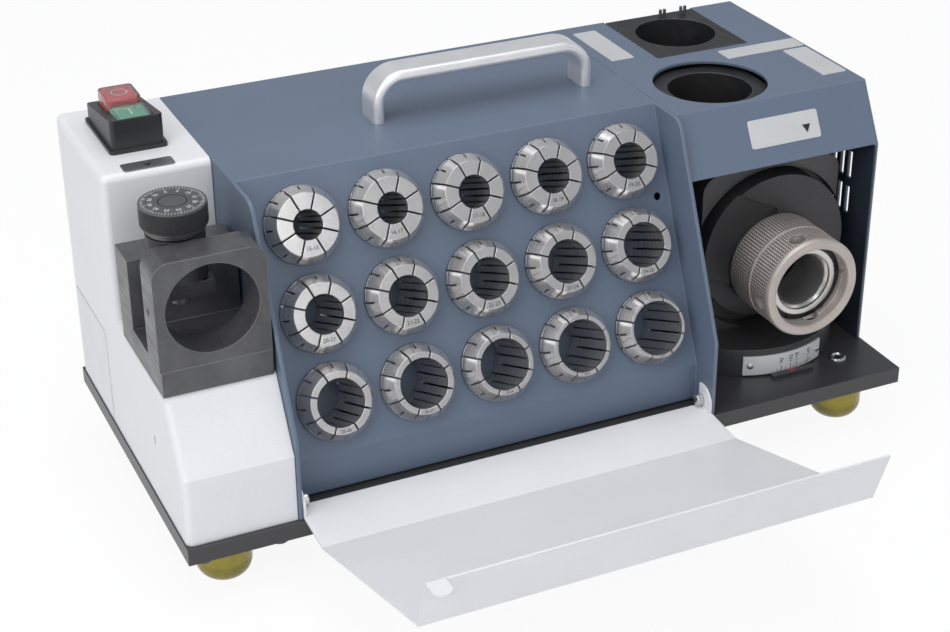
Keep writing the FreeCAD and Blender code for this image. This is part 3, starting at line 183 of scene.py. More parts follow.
def paint(name, colour, rough, grain=1400.0, peel=0.25, edge=0.0008, edge_wear_and_sheen=1.25, recess_shade=None):
    """Powder paint: fine orange peel, faint mottling, paler edges as wear and painted highlight, and painted
    shade left of and below a corner.
    """
    material, tree, shader, place = start(name)
    cloud = noise(tree, place, 22, 4)
    fine = noise(tree, place, grain, 2)
    normal, turned = rounded(tree, edge)
    body = mixed(tree, ranged(tree, cloud, 0, 1), scaled(colour, 0.975), scaled(colour, 1.025))
    speckled = mixed(tree, ranged(tree, fine, 0, 0.35, 0.45, 0.75), body, scaled(colour, 1.18))
    # Paler edges: wear and painted highlight.
    shade = mixed(tree, turned, speckled, scaled(colour, edge_wear_and_sheen))
    if recess_shade is not None:
        # Painted shade: the paint is darkened inside the right housing's recess, where shade falls.
        shade = mixed(tree, left_and_below(tree, place, recess_shade), shade, scaled(colour, 0.22))
    tree.links.new(shade, shader.inputs["Base Color"])
    tree.links.new(ranged(tree, fine, rough - 0.05, rough + 0.08), shader.inputs["Roughness"])
    bumped(tree, shader, fine, peel, 0.0002, normal)
    return material


def black_steel(name, colour, rough, edge_wear_and_sheen=(0.22, 0.22, 0.23), grain=420.0):
    """Blackened steel with faint mill marks, smudges, and paler edges as wear and painted highlight."""
    material, tree, shader, place = start(name)
    smudge = noise(tree, place, 60, 5, 0.65)
    fine = noise(tree, place, grain * 4, 2)
    marks = noise(tree, stretched(tree, place, (grain, grain * 0.08, grain)), 1, 2)
    normal, turned = rounded(tree, 0.0006)
    body = mixed(tree, ranged(tree, smudge, 0, 1), scaled(colour, 0.8), scaled(colour, 1.3))
    # Paler edges: wear and painted highlight.
    tree.links.new(mixed(tree, turned, body, edge_wear_and_sheen), shader.inputs["Base Color"])
    shader.inputs["Metallic"].default_value = 0.42
    tree.links.new(ranged(tree, marks, rough - 0.08, rough + 0.1), shader.inputs["Roughness"])
    bumped(tree, shader, fine, 0.2, 0.0002, normal)
    return material


def stretched(tree, vector, scale):
    node = tree.nodes.new("ShaderNodeMapping")
    node.inputs["Scale"].default_value = scale
    tree.links.new(vector, node.inputs["Vector"])
    return node.outputs["Vector"]


def turned_metal(name, colour, rough, centre, turn, lines=2600.0, edge=0.0004, metallic=1.0, groove_shade=None):
    """Metal turned on a lathe: fine rings round an axis at a place, painted shade within the radii of a
    knurl's grooves, and paler edges as wear and painted highlight.
    """
    material, tree, shader, place = start(name)
    local = tree.nodes.new("ShaderNodeMapping")
    local.vector_type = "TEXTURE"
    local.inputs["Location"].default_value = centre
    local.inputs["Rotation"].default_value = turn
    tree.links.new(place, local.inputs["Vector"])
    parts = tree.nodes.new("ShaderNodeSeparateXYZ")
    tree.links.new(local.outputs["Vector"], parts.inputs["Vector"])
    flat = tree.nodes.new("ShaderNodeCombineXYZ")
    tree.links.new(parts.outputs["X"], flat.inputs["X"])
    tree.links.new(parts.outputs["Y"], flat.inputs["Y"])
    reach = tree.nodes.new("ShaderNodeVectorMath")
    reach.operation = "LENGTH"
    tree.links.new(flat.outputs["Vector"], reach.inputs[0])
    ring_place = tree.nodes.new("ShaderNodeCombineXYZ")
    tree.links.new(reach.outputs["Value"], ring_place.inputs["X"])
    tree.links.new(parts.outputs["Z"], ring_place.inputs["Z"])
    rings = noise(tree, ring_place.outputs["Vector"], lines, 2)
    smudge = noise(tree, place, 90, 4)
    normal, edge_wear_and_sheen = rounded(tree, edge)
    body = mixed(tree, ranged(tree, smudge, 0, 1), scaled(colour, 0.9), scaled(colour, 1.06))
    lined = mixed(tree, ranged(tree, rings, 0, 0.5), body, scaled(colour, 0.8))
    # Paler edges: wear and painted highlight.
    shade = mixed(tree, edge_wear_and_sheen, lined, scaled(colour, 1.15))
    if groove_shade is not None:
        # Painted shade: darker colour down in the knurl's grooves.
        shade = mixed(tree, ranged(tree, reach.outputs["Value"], 0, 1, *groove_shade), scaled(colour, 0.28), shade)
    tree.links.new(shade, shader.inputs["Base Color"])
    shader.inputs["Metallic"].default_value = metallic
    tree.links.new(ranged(tree, rings, rough - 0.05, rough + 0.09), shader.inputs["Roughness"])
    bumped(tree, shader, rings, 0.12, 0.00006, normal)
    return material


def satin_metal(name, colour, rough, grain=900.0, metallic=1.0):
    """Bead-blasted or brushed metal with a fine grain."""
    material, tree, shader, place = start(name)
    fine = noise(tree, place, grain, 2)
    smudge = noise(tree, place, 40, 3)
    normal, turned = rounded(tree, 0.0004)
    body = mixed(tree, ranged(tree, smudge, 0, 1), scaled(colour, 0.95), scaled(colour, 1.03))
    # Paler edges: painted highlight.
    tree.links.new(mixed(tree, turned, body, scaled(colour, 1.08)), shader.inputs["Base Color"])
    shader.inputs["Metallic"].default_value = metallic
    tree.links.new(ranged(tree, fine, rough - 0.04, rough + 0.06), shader.inputs["Roughness"])
    bumped(tree, shader, fine, 0.08, 0.0001, normal)
    return material


def plastic(name, colour, rough, grain=1100.0, peel=0.12):
    """Moulded plastic with a faint texture."""
    material, tree, shader, place = start(name)
    fine = noise(tree, place, grain, 2)
    cloud = noise(tree, place, 70, 3)
    normal, turned = rounded(tree, 0.0007)
    body = mixed(tree, ranged(tree, cloud, 0, 1), scaled(colour, 0.92), scaled(colour, 1.08))
    # Paler edges: painted highlight.
    tree.links.new(mixed(tree, turned, body, scaled(colour, 1.4)), shader.inputs["Base Color"])
    tree.links.new(ranged(tree, fine, rough - 0.04, rough + 0.06), shader.inputs["Roughness"])
    bumped(tree, shader, fine, peel, 0.0001, normal)
    return material


def clear_cap(name, colour):
    """Clear moulded plastic, faintly milky, with a polished surface."""
    material, tree, shader, place = start(name)
    cloud = noise(tree, place, 160, 2)
    tree.links.new(mixed(tree, ranged(tree, cloud, 0, 1), scaled(colour, 0.95), scaled(colour, 1.03)),
                   shader.inputs["Base Color"])
    tree.links.new(ranged(tree, cloud, 0.1, 0.16), shader.inputs["Roughness"])
    shader.inputs["Transmission Weight"].default_value = 0.9
    shader.inputs["IOR"].default_value = 1.42
    return material


def clear_rubber(name, colour):
    """Clear amber rubber, cloudy inside."""
    material, tree, shader, place = start(name)
    cloud = noise(tree, place, 120, 3)
    tree.links.new(mixed(tree, ranged(tree, cloud, 0, 1), scaled(colour, 0.85), scaled(colour, 1.1)),
                   shader.inputs["Base Color"])
    tree.links.new(ranged(tree, cloud, 0.14, 0.26), shader.inputs["Roughness"])
    shader.inputs["Transmission Weight"].default_value = 0.45
    shader.inputs["IOR"].default_value = 1.45
    return material


def grit(name, colour):
    """Bonded abrasive: coarse sparkling grain."""
    material, tree, shader, place = start(name)
    grains = noise(tree, place, 2200, 2, 0.8)
    tree.links.new(mixed(tree, ranged(tree, grains, 0, 1), scaled(colour, 0.5), scaled(colour, 2.2)),
                   shader.inputs["Base Color"])
    tree.links.new(ranged(tree, grains, 0.75, 0.95), shader.inputs["Roughness"])
    bumped(tree, shader, grains, 0.5, 0.0004)
    return material


FACING_FRONT = (math.radians(90), 0, 0)
FACING_UP = (0, 0, 0)
OUT_OF_PANEL = (math.radians(90) - LEAN, 0, 0)
BLUE = (0.115, 0.152, 0.216)
BLUE_COAT = {"rough": 0.42, "grain": 1100, "peel": 0.4, "edge": 0.0014, "edge_wear_and_sheen": 1.7}
NICKEL = (0.5, 0.45, 0.42)


def chuck_metal(name, colour, rough, metallic=1.0, lines=1500, groove_shade=None):
    """Metal turned round the chuck's axis."""
    return turned_metal(name, colour, rough, spot(*CHUCK_MM), FACING_FRONT, lines, metallic=metallic,
                        groove_shade=groove_shade)


MATERIALS = {
    "black_enamel": paint("black_enamel", (0.04, 0.04, 0.042), 0.34, edge_wear_and_sheen=2.6),
    "white_enamel": paint("white_enamel", (0.72, 0.72, 0.745), 0.36, edge_wear_and_sheen=1.1),
    "blue_enamel": paint("blue_enamel", BLUE, **BLUE_COAT),
    "motor_paint": paint("motor_paint", (0.1, 0.11, 0.12), 0.5),
    "black_steel": black_steel("black_steel", (0.1, 0.1, 0.105), 0.37, edge_wear_and_sheen=(0.32, 0.32, 0.33)),
    # A darker copy of the black steel; on the gauge carrier and stop it is painted shade.
    "port_steel": black_steel("port_steel", (0.03, 0.03, 0.032), 0.42),
    "bright_steel": satin_metal("bright_steel", (0.62, 0.62, 0.61), 0.26),
    "satin_aluminium": satin_metal("satin_aluminium", (0.82, 0.82, 0.835), 0.4, metallic=0.75),
    "scale_metal": satin_metal("scale_metal", (0.74, 0.75, 0.77), 0.42, grain=500, metallic=0.3),
    "nickel_steel": chuck_metal("nickel_steel", NICKEL, 0.44, 0.5),
    "nickel_knurl": chuck_metal("nickel_knurl", NICKEL, 0.44, 0.5, groove_shade=KNURL_GROOVE_SHADE),
    "chuck_bright": chuck_metal("chuck_bright", (0.6, 0.59, 0.58), 0.2),
    "chuck_black": chuck_metal("chuck_black", (0.02, 0.02, 0.022), 0.3, 0.3),
    "dark_plastic": plastic("dark_plastic", (0.018, 0.018, 0.02), 0.36),
    "black_knob": plastic("black_knob", (0.01, 0.01, 0.011), 0.4),
    "red_button": plastic("red_button", (0.6, 0.03, 0.04), 0.3, peel=0.04),
    "green_button": plastic("green_button", (0.05, 0.44, 0.25), 0.3, peel=0.04),
    "clear_cap": clear_cap("clear_cap", (0.93, 0.93, 0.93)),
    "amber_rubber": clear_rubber("amber_rubber", (0.42, 0.35, 0.04)),
    "abrasive": grit("abrasive", (0.12, 0.12, 0.13)),
    "plate_metal": satin_metal("plate_metal", (0.7, 0.71, 0.73), 0.4, grain=700, metallic=0.5),
    "grey_plate": satin_metal("grey_plate", (0.3, 0.31, 0.33), 0.4, grain=700),
    "black_ink": plastic("black_ink", (0.012, 0.012, 0.013), 0.5, peel=0.02),
    "white_ink": plastic("white_ink", (0.7, 0.7, 0.7), 0.5, peel=0.02),
    "red_ink": plastic("red_ink", (0.6, 0.02, 0.06), 0.45, peel=0.02),
}


def collet_place(bore):
    """Middle of a collet's face, in mm."""
    row, column = divmod(bore - COLLET_BORES[0], COLLETS_IN_ROW)
    drop = FIRST_ROW_DROP_MM + row * COLLET_PITCH_MM
    panel_top = (PANEL_FOOT_Y_MM + (HOUSING_TOP_MM - PANEL_FOOT_Z_MM) * math.tan(LEAN)
                 + RACK_DEPTH_MM / math.cos(LEAN))
    return (PANEL_MIDDLE_MM + (column - COLLETS_IN_ROW // 2) * COLLET_PITCH_MM,
            panel_top - drop * math.sin(LEAN) - COLLET_STAND_MM * math.cos(LEAN),
            HOUSING_TOP_MM - drop * math.cos(LEAN) + COLLET_STAND_MM * math.sin(LEAN))


def recess_corner():
    """Where the right housing's painted recess shade ends: just within its right wall, and under its slope.

    The painted shade has no limit in depth, so the outside of the back wall is darkened too.
    """
    right_side = max(corner[0] for corner in nodes["right_housing"].bound_box)
    return right_side - 0.001, spot(0, 0, SLOPE_LOW_MM - 1).z


OWN_LOOKS = {
    "gauge_knob": turned_metal("knob_steel", (0.125, 0.125, 0.13), 0.38, spot(*KNOB_MM, 150), FACING_UP, 2000,
                               metallic=0.5),
    "chuck_flange": chuck_metal("black_chuck_flange", (0.05, 0.05, 0.053), 0.42, 0.4, 1600),
    "port_block": chuck_metal("black_port_block", (0.085, 0.085, 0.088), 0.42, 0.4, 1600),
    "chuck_body": chuck_metal("chuck_bore", (0.55, 0.54, 0.54), 0.3, 0.75),
    "chuck_ring": MATERIALS["chuck_black"],
    # The right housing's paint gets painted shade inside its recess.
    "right_housing": paint("blue_recess_shade", BLUE, **BLUE_COAT, recess_shade=recess_corner()),
}
# The gauge carrier and stop take the darker port steel as painted shade inside the gauge's bore.
for node_name in ("front_port", "rear_port", "port_stand", "gauge_carrier", "gauge_stop"):
    OWN_LOOKS[node_name] = MATERIALS["port_steel"]
for bore in COLLET_BORES:
    OWN_LOOKS[f"collet_{bore}"] = turned_metal(f"steel_collet_{bore}", (0.72, 0.71, 0.71), 0.2,
                                               spot(*collet_place(bore)), OUT_OF_PANEL, metallic=0.84)

slot_of = {entry["node"]: entry["material_slot"] for entry in frame["record"]["subparts"]}
for node_name, node in nodes.items():
    look = OWN_LOOKS.get(node_name) or MATERIALS[slot_of[node_name]]
    node.data.materials.clear()
    node.data.materials.append(look)


# Pieces

def piece(name, mesh, body, material, smooth_angle=None):
    """Puts a mesh in the scene as a piece that rides on a body."""
    made = bpy.data.objects.new(name, mesh)
    bpy.context.scene.collection.objects.link(made)
    mesh.materials.clear()
    mesh.materials.append(MATERIALS[material])
    if smooth_angle is not None:
        mesh.shade_smooth()
        mesh.set_sharp_from_angle(angle=math.radians(smooth_angle))
    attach(made, body)
    return made


def mesh_of(name, points, faces):
    mesh = bpy.data.meshes.new(name)
    mesh.from_pydata([tuple(point) for point in points], [], faces)
    mesh.update()
    return mesh


def rounded_outline(width, height, radius, steps=6):
    """Corners of a flat plate in metres, round its middle."""
    points = []
    for corner, (side, up) in enumerate(((1, 1), (-1, 1), (-1, -1), (1, -1))):
        for step in range(steps + 1):
            angle = math.radians(90) * (corner + step / steps)
            points.append((side * (width / 2 - radius) + radius * math.cos(angle),
                           up * (height / 2 - radius) + radius * math.sin(angle)))
    return points


def slab(name, outline_points, thickness, bevel=0.0):
    """A flat plate that stands on its own XY plane, with a narrow bevel round its top."""
    count = len(outline_points)
    middle = Vector((sum(p[0] for p in outline_points), sum(p[1] for p in outline_points))) / count
    layers = [(0, 0.0), (thickness - bevel, 0.0)]
    if bevel:
        for step in range(1, BEVEL_STEPS + 1):
            turn = math.radians(90) * step / BEVEL_STEPS
            layers.append((thickness - bevel + bevel * math.sin(turn), bevel * (1 - math.cos(turn))))
    points = []
    for height, inset in layers:
        for x, y in outline_points:
            way = Vector((x, y)) - middle
            shrunk = Vector((x, y)) - way.normalized() * inset
            points.append((shrunk.x, shrunk.y, height))
    faces = [list(range(count))[::-1]]
    for layer in range(len(layers) - 1):
        base = layer * count
        for index in range(count):
            following = (index + 1) % count
            faces.append([base + index, base + following, base + count + following, base + count + index])
    faces.append(list(range((len(layers) - 1) * count, len(layers) * count)))
    return mesh_of(name, points, faces)


def plate(name, matrix, width_mm, height_mm, body, slot, material, thickness_mm=0.4, radius_mm=1.5):
    corners = rounded_outline(width_mm / 1000, height_mm / 1000, radius_mm / 1000)
    mesh = slab(name, corners, thickness_mm / 1000, PLATE_BEVEL)
    mesh.transform(matrix)
    return piece(name, mesh, body, material)


def triangle(name, matrix, size_mm, body, material, thickness_mm=0.2):
    """A flat arrowhead that points down the face."""
    half = size_mm / 2000
    mesh = slab(name, [(-half, half * 0.9), (0, -half * 0.9), (half, half * 0.9)], thickness_mm / 1000)
    mesh.transform(matrix)
    return piece(name, mesh, body, material)


def words(name, text, size_mm, matrix, body, material, thickness_mm=0.08):
    """Plain figures as thin solids on a face."""
    curve = bpy.data.curves.new(name, "FONT")
    curve.body = text
    curve.size = size_mm / 1000
    curve.align_x = "CENTER"
    curve.align_y = "CENTER"
    curve.extrude = thickness_mm / 1000
    curve.resolution_u = 3
    holder = bpy.data.objects.new(name, curve)
    bpy.context.scene.collection.objects.link(holder)
    bpy.context.view_layer.update()
    mesh = bpy.data.meshes.new_from_object(holder)
    bpy.data.objects.remove(holder)
    bpy.data.curves.remove(curve)
    mesh.transform(matrix)
    return piece(name, mesh, body, material)


def spun(name, profile, matrix, body, material, steps=96, smooth_angle=35):
    """A profile of (radius, height) in mm turned round Z; a closed profile makes a ring."""
    points = []
    for step in range(steps):
        angle = 2 * math.pi * step / steps
        points += [(r * math.cos(angle) / 1000, r * math.sin(angle) / 1000, h / 1000) for r, h in profile]
    count = len(profile)
    faces = []
    for step in range(steps):
        here = step * count
        there = (step + 1) % steps * count
        for index in range(count):
            following = (index + 1) % count
            faces.append([here + index, there + index, there + following, here + following])
    mesh = mesh_of(name, points, faces)
    mesh.transform(matrix)
    return piece(name, mesh, body, material, smooth_angle)


def triangle_wave(value):
    return 1 - abs(2 * (value - math.floor(value)) - 1)


def knurl(name, radius_mm, low_mm, high_mm, depth_mm, teeth, matrix, body, slot, material, holes=()):
    """A sleeve of small square points, left out round holes given by angle, height and radius in mm."""
    pitch_mm = 2 * math.pi * radius_mm / teeth
    ridges = round((high_mm - low_mm) / pitch_mm)
    around = teeth * TOOTH_STEPS
    rows = ridges * TOOTH_STEPS

    def hole_reach(angle, along):
        """Distance in mm from the nearest hole's edge, along the sleeve."""
        reach = [high_mm]
        for middle, height, size in holes:
            swing = (angle - middle + math.pi) % (2 * math.pi) - math.pi
            reach.append(math.hypot(swing * radius_mm, along - height) - size)
        return min(reach)

    angles = [2 * math.pi * step / around for step in range(around)]
    heights = [low_mm + (high_mm - low_mm) * row / rows for row in range(rows + 1)]
    points = []
    for row, along in enumerate(heights):
        for step, angle in enumerate(angles):
            rise = min(triangle_wave(step / TOOTH_STEPS), triangle_wave(row / TOOTH_STEPS))
            sunk = -SLEEVE_MM / 2 if holes and hole_reach(angle, along) < pitch_mm / 4 else depth_mm * rise
            r = (radius_mm + sunk) / 1000
            points.append((r * math.cos(angle), r * math.sin(angle), along / 1000))
    inner = len(points)
    for along in (low_mm, high_mm):
        for angle in angles:
            r = (radius_mm - SLEEVE_MM) / 1000
            points.append((r * math.cos(angle), r * math.sin(angle), along / 1000))
    faces = []
    for step, angle in enumerate(angles):
        following = (step + 1) % around
        for row, along in enumerate(heights[:-1]):
            if hole_reach(angle, along) < -pitch_mm / 8:
                continue
            faces.append([row * around + step, row * around + following,
                          (row + 1) * around + following, (row + 1) * around + step])
        top = rows * around
        faces.append([inner + step, inner + following, following, step])
        faces.append([top + step, top + following, inner + around + following, inner + around + step])
        if not holes:
            faces.append([inner + following, inner + step, inner + around + step, inner + around + following])
    mesh = mesh_of(name, points, faces)
    mesh.transform(matrix)
    return piece(name, mesh, body, material)


def around_axis(matrix, angle, radius_mm, height_mm):
    """A place on a face round an axis, with its Y pointing away from the middle."""
    turn = Matrix.Rotation(angle, 4, "Z")
    lift = Matrix.Translation((0, radius_mm / 1000, height_mm / 1000))
    return matrix @ turn @ lift


chuck_axis = stood(*CHUCK_MM, (1, 0, 0), (0, 0, 1))
knob_axis = stood(*KNOB_MM, 0)

# Chuck: knurled collar and nut, with a black ring and its screws inside; profiles are (radius, height) in mm
CHUCK_KNURL = {"radius_mm": KNURL_RADIUS_MM, "depth_mm": 0.55, "teeth": 100, "matrix": chuck_axis,
               "slot": "nickel_steel", "material": "nickel_knurl"}
NUT_HOLE_RADIUS_MM = 4.5
NUT_HOLE_HEIGHT_MM = 31.1
NUT_HOLES = [(math.radians(turn), NUT_HOLE_HEIGHT_MM, NUT_HOLE_RADIUS_MM) for turn in range(14, 360, 90)]
NUT_RIDGE = [(28.6, 19.2), (29.5, 19.5), (29.5, 20.5), (28.6, 20.9)]
NUT_RIM = [(23.6, 36.4), (29.4, 36.4), (29.6, 37.0), (29.6, 38.6), (28.8, 39.9), (28.0, 40.2), (24.4, 40.2),
           (23.8, 39.8), (23.6, 39.0)]
CHUCK_SEAT = [(15.6, 27.9), (17.4, 29.6), (17.4, 30.8), (20.1, 31.1), (20.4, 30.9), (20.4, 30.7),
              (17.2, 30.5), (17.2, 27.9)]
RING_SCREW = [(0.5, 0.2), (0.5, 0.9), (0.9, 1.0), (1.2, 0.8), (1.25, 0)]
RING_SCREW_REACH_MM = 21.8
RING_FACE_MM = 30.8
knurl("collar_knurl", low_mm=1.0, high_mm=17.9, body="chuck", **CHUCK_KNURL)
knurl("nut_knurl", low_mm=21.0, high_mm=36.2, body="chuck_nut", holes=NUT_HOLES, **CHUCK_KNURL)
spun("nut_ridge", NUT_RIDGE, chuck_axis, "chuck_nut", "nickel_steel")
spun("nut_rim", NUT_RIM, chuck_axis, "chuck_nut", "nickel_steel")
spun("chuck_seat", CHUCK_SEAT, chuck_axis, "chuck", "chuck_bright")
for screw, turn in enumerate(range(-25, 335, 60)):
    at = around_axis(chuck_axis, math.radians(turn), RING_SCREW_REACH_MM, RING_FACE_MM)
    spun(f"ring_screw_{screw}", RING_SCREW, at, "chuck", "chuck_black", 20)

# Setting gauge: knob with a dial, and a flat black disc as painted shade in the block's set-screw hole
GAUGE_TOP_MM = 129.3
CARRIER_SINK_MM = 4
CARRIER_HEIGHT_MM = 23.7
KNOB_LIFT_MM = 0.8
KNOB_HEIGHT_MM = 15
KNOB_LOW_MM = GAUGE_TOP_MM - CARRIER_SINK_MM + CARRIER_HEIGHT_MM + KNOB_LIFT_MM
KNOB_TOP_MM = KNOB_LOW_MM + KNOB_HEIGHT_MM
DIAL_MARKS = 60
DIAL_NUMBERS = 12
DIAL_EDGE_MM = 16.0
DIAL_NUMBER_REACH_MM = 11.2
LONG_MARK_MM = 2.6
SHORT_MARK_MM = 1.5
DIAL_RING = [(6.8, KNOB_TOP_MM), (7.1, KNOB_TOP_MM + 0.1), (7.4, KNOB_TOP_MM)]
SET_SCREW_HOLE_SHADE = [(0.01, 0), (0.01, 0.03), (1.5, 0.03), (1.75, 0.07), (1.9, 0)]
knurl("knob_knurl", radius_mm=16.9, low_mm=KNOB_LOW_MM + 3.8, high_mm=KNOB_TOP_MM - 0.9, depth_mm=0.3,
      teeth=90, matrix=knob_axis, body="gauge_knob", slot="black_knob", material="black_knob")
for mark in range(DIAL_MARKS):
    length_mm = SHORT_MARK_MM if mark % (DIAL_MARKS // DIAL_NUMBERS) else LONG_MARK_MM
    angle = math.radians(mark * 360 / DIAL_MARKS)
    at = around_axis(knob_axis, angle, DIAL_EDGE_MM - length_mm / 2, KNOB_TOP_MM)
    plate(f"dial_mark_{mark}", at, 0.35, length_mm, "gauge_knob", "black_knob", "white_ink", 0.06, 0.1)
for mark in range(DIAL_NUMBERS):
    at = around_axis(knob_axis, -math.radians(mark * 360 / DIAL_NUMBERS), DIAL_NUMBER_REACH_MM, KNOB_TOP_MM)
    number = str(mark * DIAL_MARKS // DIAL_NUMBERS)
    words(f"dial_number_{mark}", number, 3.2, at, "gauge_knob", "white_ink")
spun("dial_ring", DIAL_RING, knob_axis, "gauge_knob", "black_knob")
# A flat black disc stands for the set-screw hole: painted shade.
spun("gauge_set_screw_hole_shade", SET_SCREW_HOLE_SHADE, stood(0.1, 34.1, 119.5, (0, -1, 0), (0, 0, 1)), "machine",
     "black_ink", 24)

# Switch: clear caps over coloured blocks, with plain marks
SWITCH_SIDE_MM = 14.2
BUTTON_SIDE_MM = 5
BUTTON_WIDTH_MM = 19.0
BUTTON_DEPTH_MM = 19.5
BUTTON_HEIGHT_MM = 16.0
CAP_WALL_MM = 1.7
CORE_LIFT_MM = 0.5
BUTTON_X_MM = LEFT_SIDE_MM + SWITCH_SIDE_MM + BUTTON_SIDE_MM + BUTTON_WIDTH_MM / 2
CAP_OUTLINE = rounded_outline(BUTTON_WIDTH_MM / 1000, BUTTON_DEPTH_MM / 1000, 0.0022)
CORE_OUTLINE = rounded_outline((BUTTON_WIDTH_MM - 2 * CAP_WALL_MM) / 1000,
                               (BUTTON_DEPTH_MM - 2 * CAP_WALL_MM) / 1000, 0.0015)
STOP_MARK = [(3.7, 0), (3.7, 0.12), (4.5, 0.12), (4.5, 0)]
BUTTONS = (("stop", 161.6, 21, "red_button"), ("start", 140.2, 18, "green_button"))
for name, front_mm, rise_mm, slot in BUTTONS:
    button = f"{name}_button"
    base = stood(BUTTON_X_MM, front_mm + BUTTON_DEPTH_MM / 2, HOUSING_TOP_MM + rise_mm - BUTTON_HEIGHT_MM)
    cap_mesh = slab(f"{name}_cap", CAP_OUTLINE, BUTTON_HEIGHT_MM / 1000, 0.0012)
    cap_mesh.transform(base)
    cap = piece(f"{name}_cap", cap_mesh, button, "clear_cap", 30)
    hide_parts(button)
    core = slab(f"{name}_core", CORE_OUTLINE, (BUTTON_HEIGHT_MM - CAP_WALL_MM - CORE_LIFT_MM) / 1000, 0.0006)
    core.transform(base @ Matrix.Translation((0, 0, CORE_LIFT_MM / 1000)))
    piece(f"{name}_core", core, button, slot, 30)
    face = base @ Matrix.Translation((0, 0, (BUTTON_HEIGHT_MM - CAP_WALL_MM) / 1000))
    if name == "stop":
        spun("stop_mark", STOP_MARK, face, button, "white_ink", 48)
    else:
        plate("start_mark", face, 1.0, 8.0, button, slot, "white_ink", 0.12, 0.3)

# Scale plate figures, rivets and the pointer's arrow; places round the swivel are in degrees
SCALE_RADIUS_MM = 60
MARK_RISE_MM = 0.08
MARK_ROUND_MM = 0.1
SCALE_NUMBERS = {267.5: 90, 273.5: 105, 277.5: 118, 286.5: 140}
SCALE_TICKS = (265.0, 270.0, 275.5, 280.5, 283.5, 285.0, 288.5)
SCALE_RIVETS = (249.0, 294.5)
RIVET = [(0.01, 0), (2.0, 0), (1.8, 0.5), (1.0, 0.95), (0.01, 1.05)]


def on_scale(degrees, height_mm, upright=False):
    """A place on the scale plate's face that reads along the plate, or up it."""
    out = Vector((math.cos(math.radians(degrees)), math.sin(math.radians(degrees)), 0))
    along = Vector((-out.y, out.x, 0))
    middle = Vector((*SWIVEL_MM, height_mm)) + SCALE_RADIUS_MM * out
    if upright:
        return stood(*middle, (0, 0, 1), -along)
    return stood(*middle, along, (0, 0, 1))


for mark, (degrees, number) in enumerate(SCALE_NUMBERS.items()):
    plate(f"scale_mark_{mark}", on_scale(degrees, 3.4), 0.4, 3.6, "swivel", "scale_metal", "black_ink",
          MARK_RISE_MM, MARK_ROUND_MM)
    at = on_scale(degrees, 8.6, upright=True)
    words(f"scale_number_{mark}", str(number), 3.4, at, "swivel", "black_ink")
for mark, degrees in enumerate(SCALE_TICKS):
    plate(f"scale_tick_{mark}", on_scale(degrees, 2.6), 0.3, 2.0, "swivel", "scale_metal", "black_ink",
          MARK_RISE_MM, MARK_ROUND_MM)
for rivet, degrees in enumerate(SCALE_RIVETS):
    spun(f"scale_rivet_{rivet}", RIVET, on_scale(degrees, 7.2), "swivel", "bright_steel", 24)
triangle("pointer_arrow", stood(370.5, 21.9, 2.0, (0, 1, 0), (-1, 0, 0)), 3.6, "machine",
         "red_ink")

# Screw heads that show: the foot screw in front and the tray's two pivots
FOOT_SCREW = [(2.5, 0), (2.5, 0.6), (3.6, 1.3), (4.6, 1.0), (4.95, 0.1)]
SOCKET_RADIUS = 0.0025
TRAY_PIVOT = [(0.01, 0), (3.4, 0), (3.2, 0.5), (2.2, 1.0), (0.01, 1.2)]
TRAY_HINGE_MM = (9.5, 6.5)
foot_at = stood(404.5, 25.5, 0)
spun("foot_screw_head", FOOT_SCREW, foot_at, "machine", "bright_steel", 48)
# A flat black hexagon on the foot screw's head stands for its socket: painted shade of the recess.
hexagon = [(SOCKET_RADIUS * math.cos(math.radians(turn)), SOCKET_RADIUS * math.sin(math.radians(turn)))
           for turn in range(0, 360, 60)]
socket = slab("foot_screw_socket_shade", hexagon, 0.0003)
socket.transform(foot_at)
piece("foot_screw_socket_shade", socket, "machine", "black_ink")
for side, x_mm, way in (("left", 67.2, 1), ("right", 299.0, -1)):
    at = stood(x_mm, *TRAY_HINGE_MM, (0, way, 0), (0, 0, 1))
    spun(f"tray_pivot_{side}", TRAY_PIVOT, at, "machine", "bright_steel", 32)

# Bare plates where the housings carry labels, each with its middle and its size in mm
SLOPE_UP = (0, SLOPE_BACK_MM - SLOPE_FRONT_MM, HOUSING_TOP_MM - SLOPE_LOW_MM)
TOP_PLATES = {
    "plate_top_left": ((320.5, 168.5), (15, 50), "blue_enamel", "plate_metal"),
    "plate_top_right": ((419, 94), (16, 43), "blue_enamel", "plate_metal"),
    "plate_top_bar": ((402, 124.5), (52, 13), "blue_enamel", "plate_metal"),
    "plate_gauge": ((28, 118.2), (27.5, 9.6), "white_enamel", "grey_plate"),
}
plate("plate_slope", stood(371, 48.6, 142.2, (1, 0, 0), SLOPE_UP), 45, 16, "machine", "blue_enamel",
      "plate_metal")
for name, (middle_mm, size_mm, slot, material) in TOP_PLATES.items():
    plate(name, stood(*middle_mm, HOUSING_TOP_MM), *size_mm, "machine", slot, material)
triangle("plate_gauge_arrow", stood(28, 117.0, 159.05), 4, "machine", "black_ink")
triangle("plate_slope_arrow", stood(385, 47.6, 140.6, (1, 0, 0), SLOPE_UP), 5, "machine",
         "black_ink", 0.7)
# A thin black plate on the left side stands for a slot: painted shade in it.
plate("side_slot_shade", stood(LEFT_SIDE_MM, 48.7, 37.8, (0, -1, 0.15), (0, 0.15, 1)), 1.1, 5.0, "machine",
      "white_enamel", "black_ink", 0.03, 0.5)
plate("plate_side", stood(LEFT_SIDE_MM, 168, 30, (0, -1, 0), (0, 0, 1)), 62, 54, "machine", "white_enamel",
      "plate_metal")

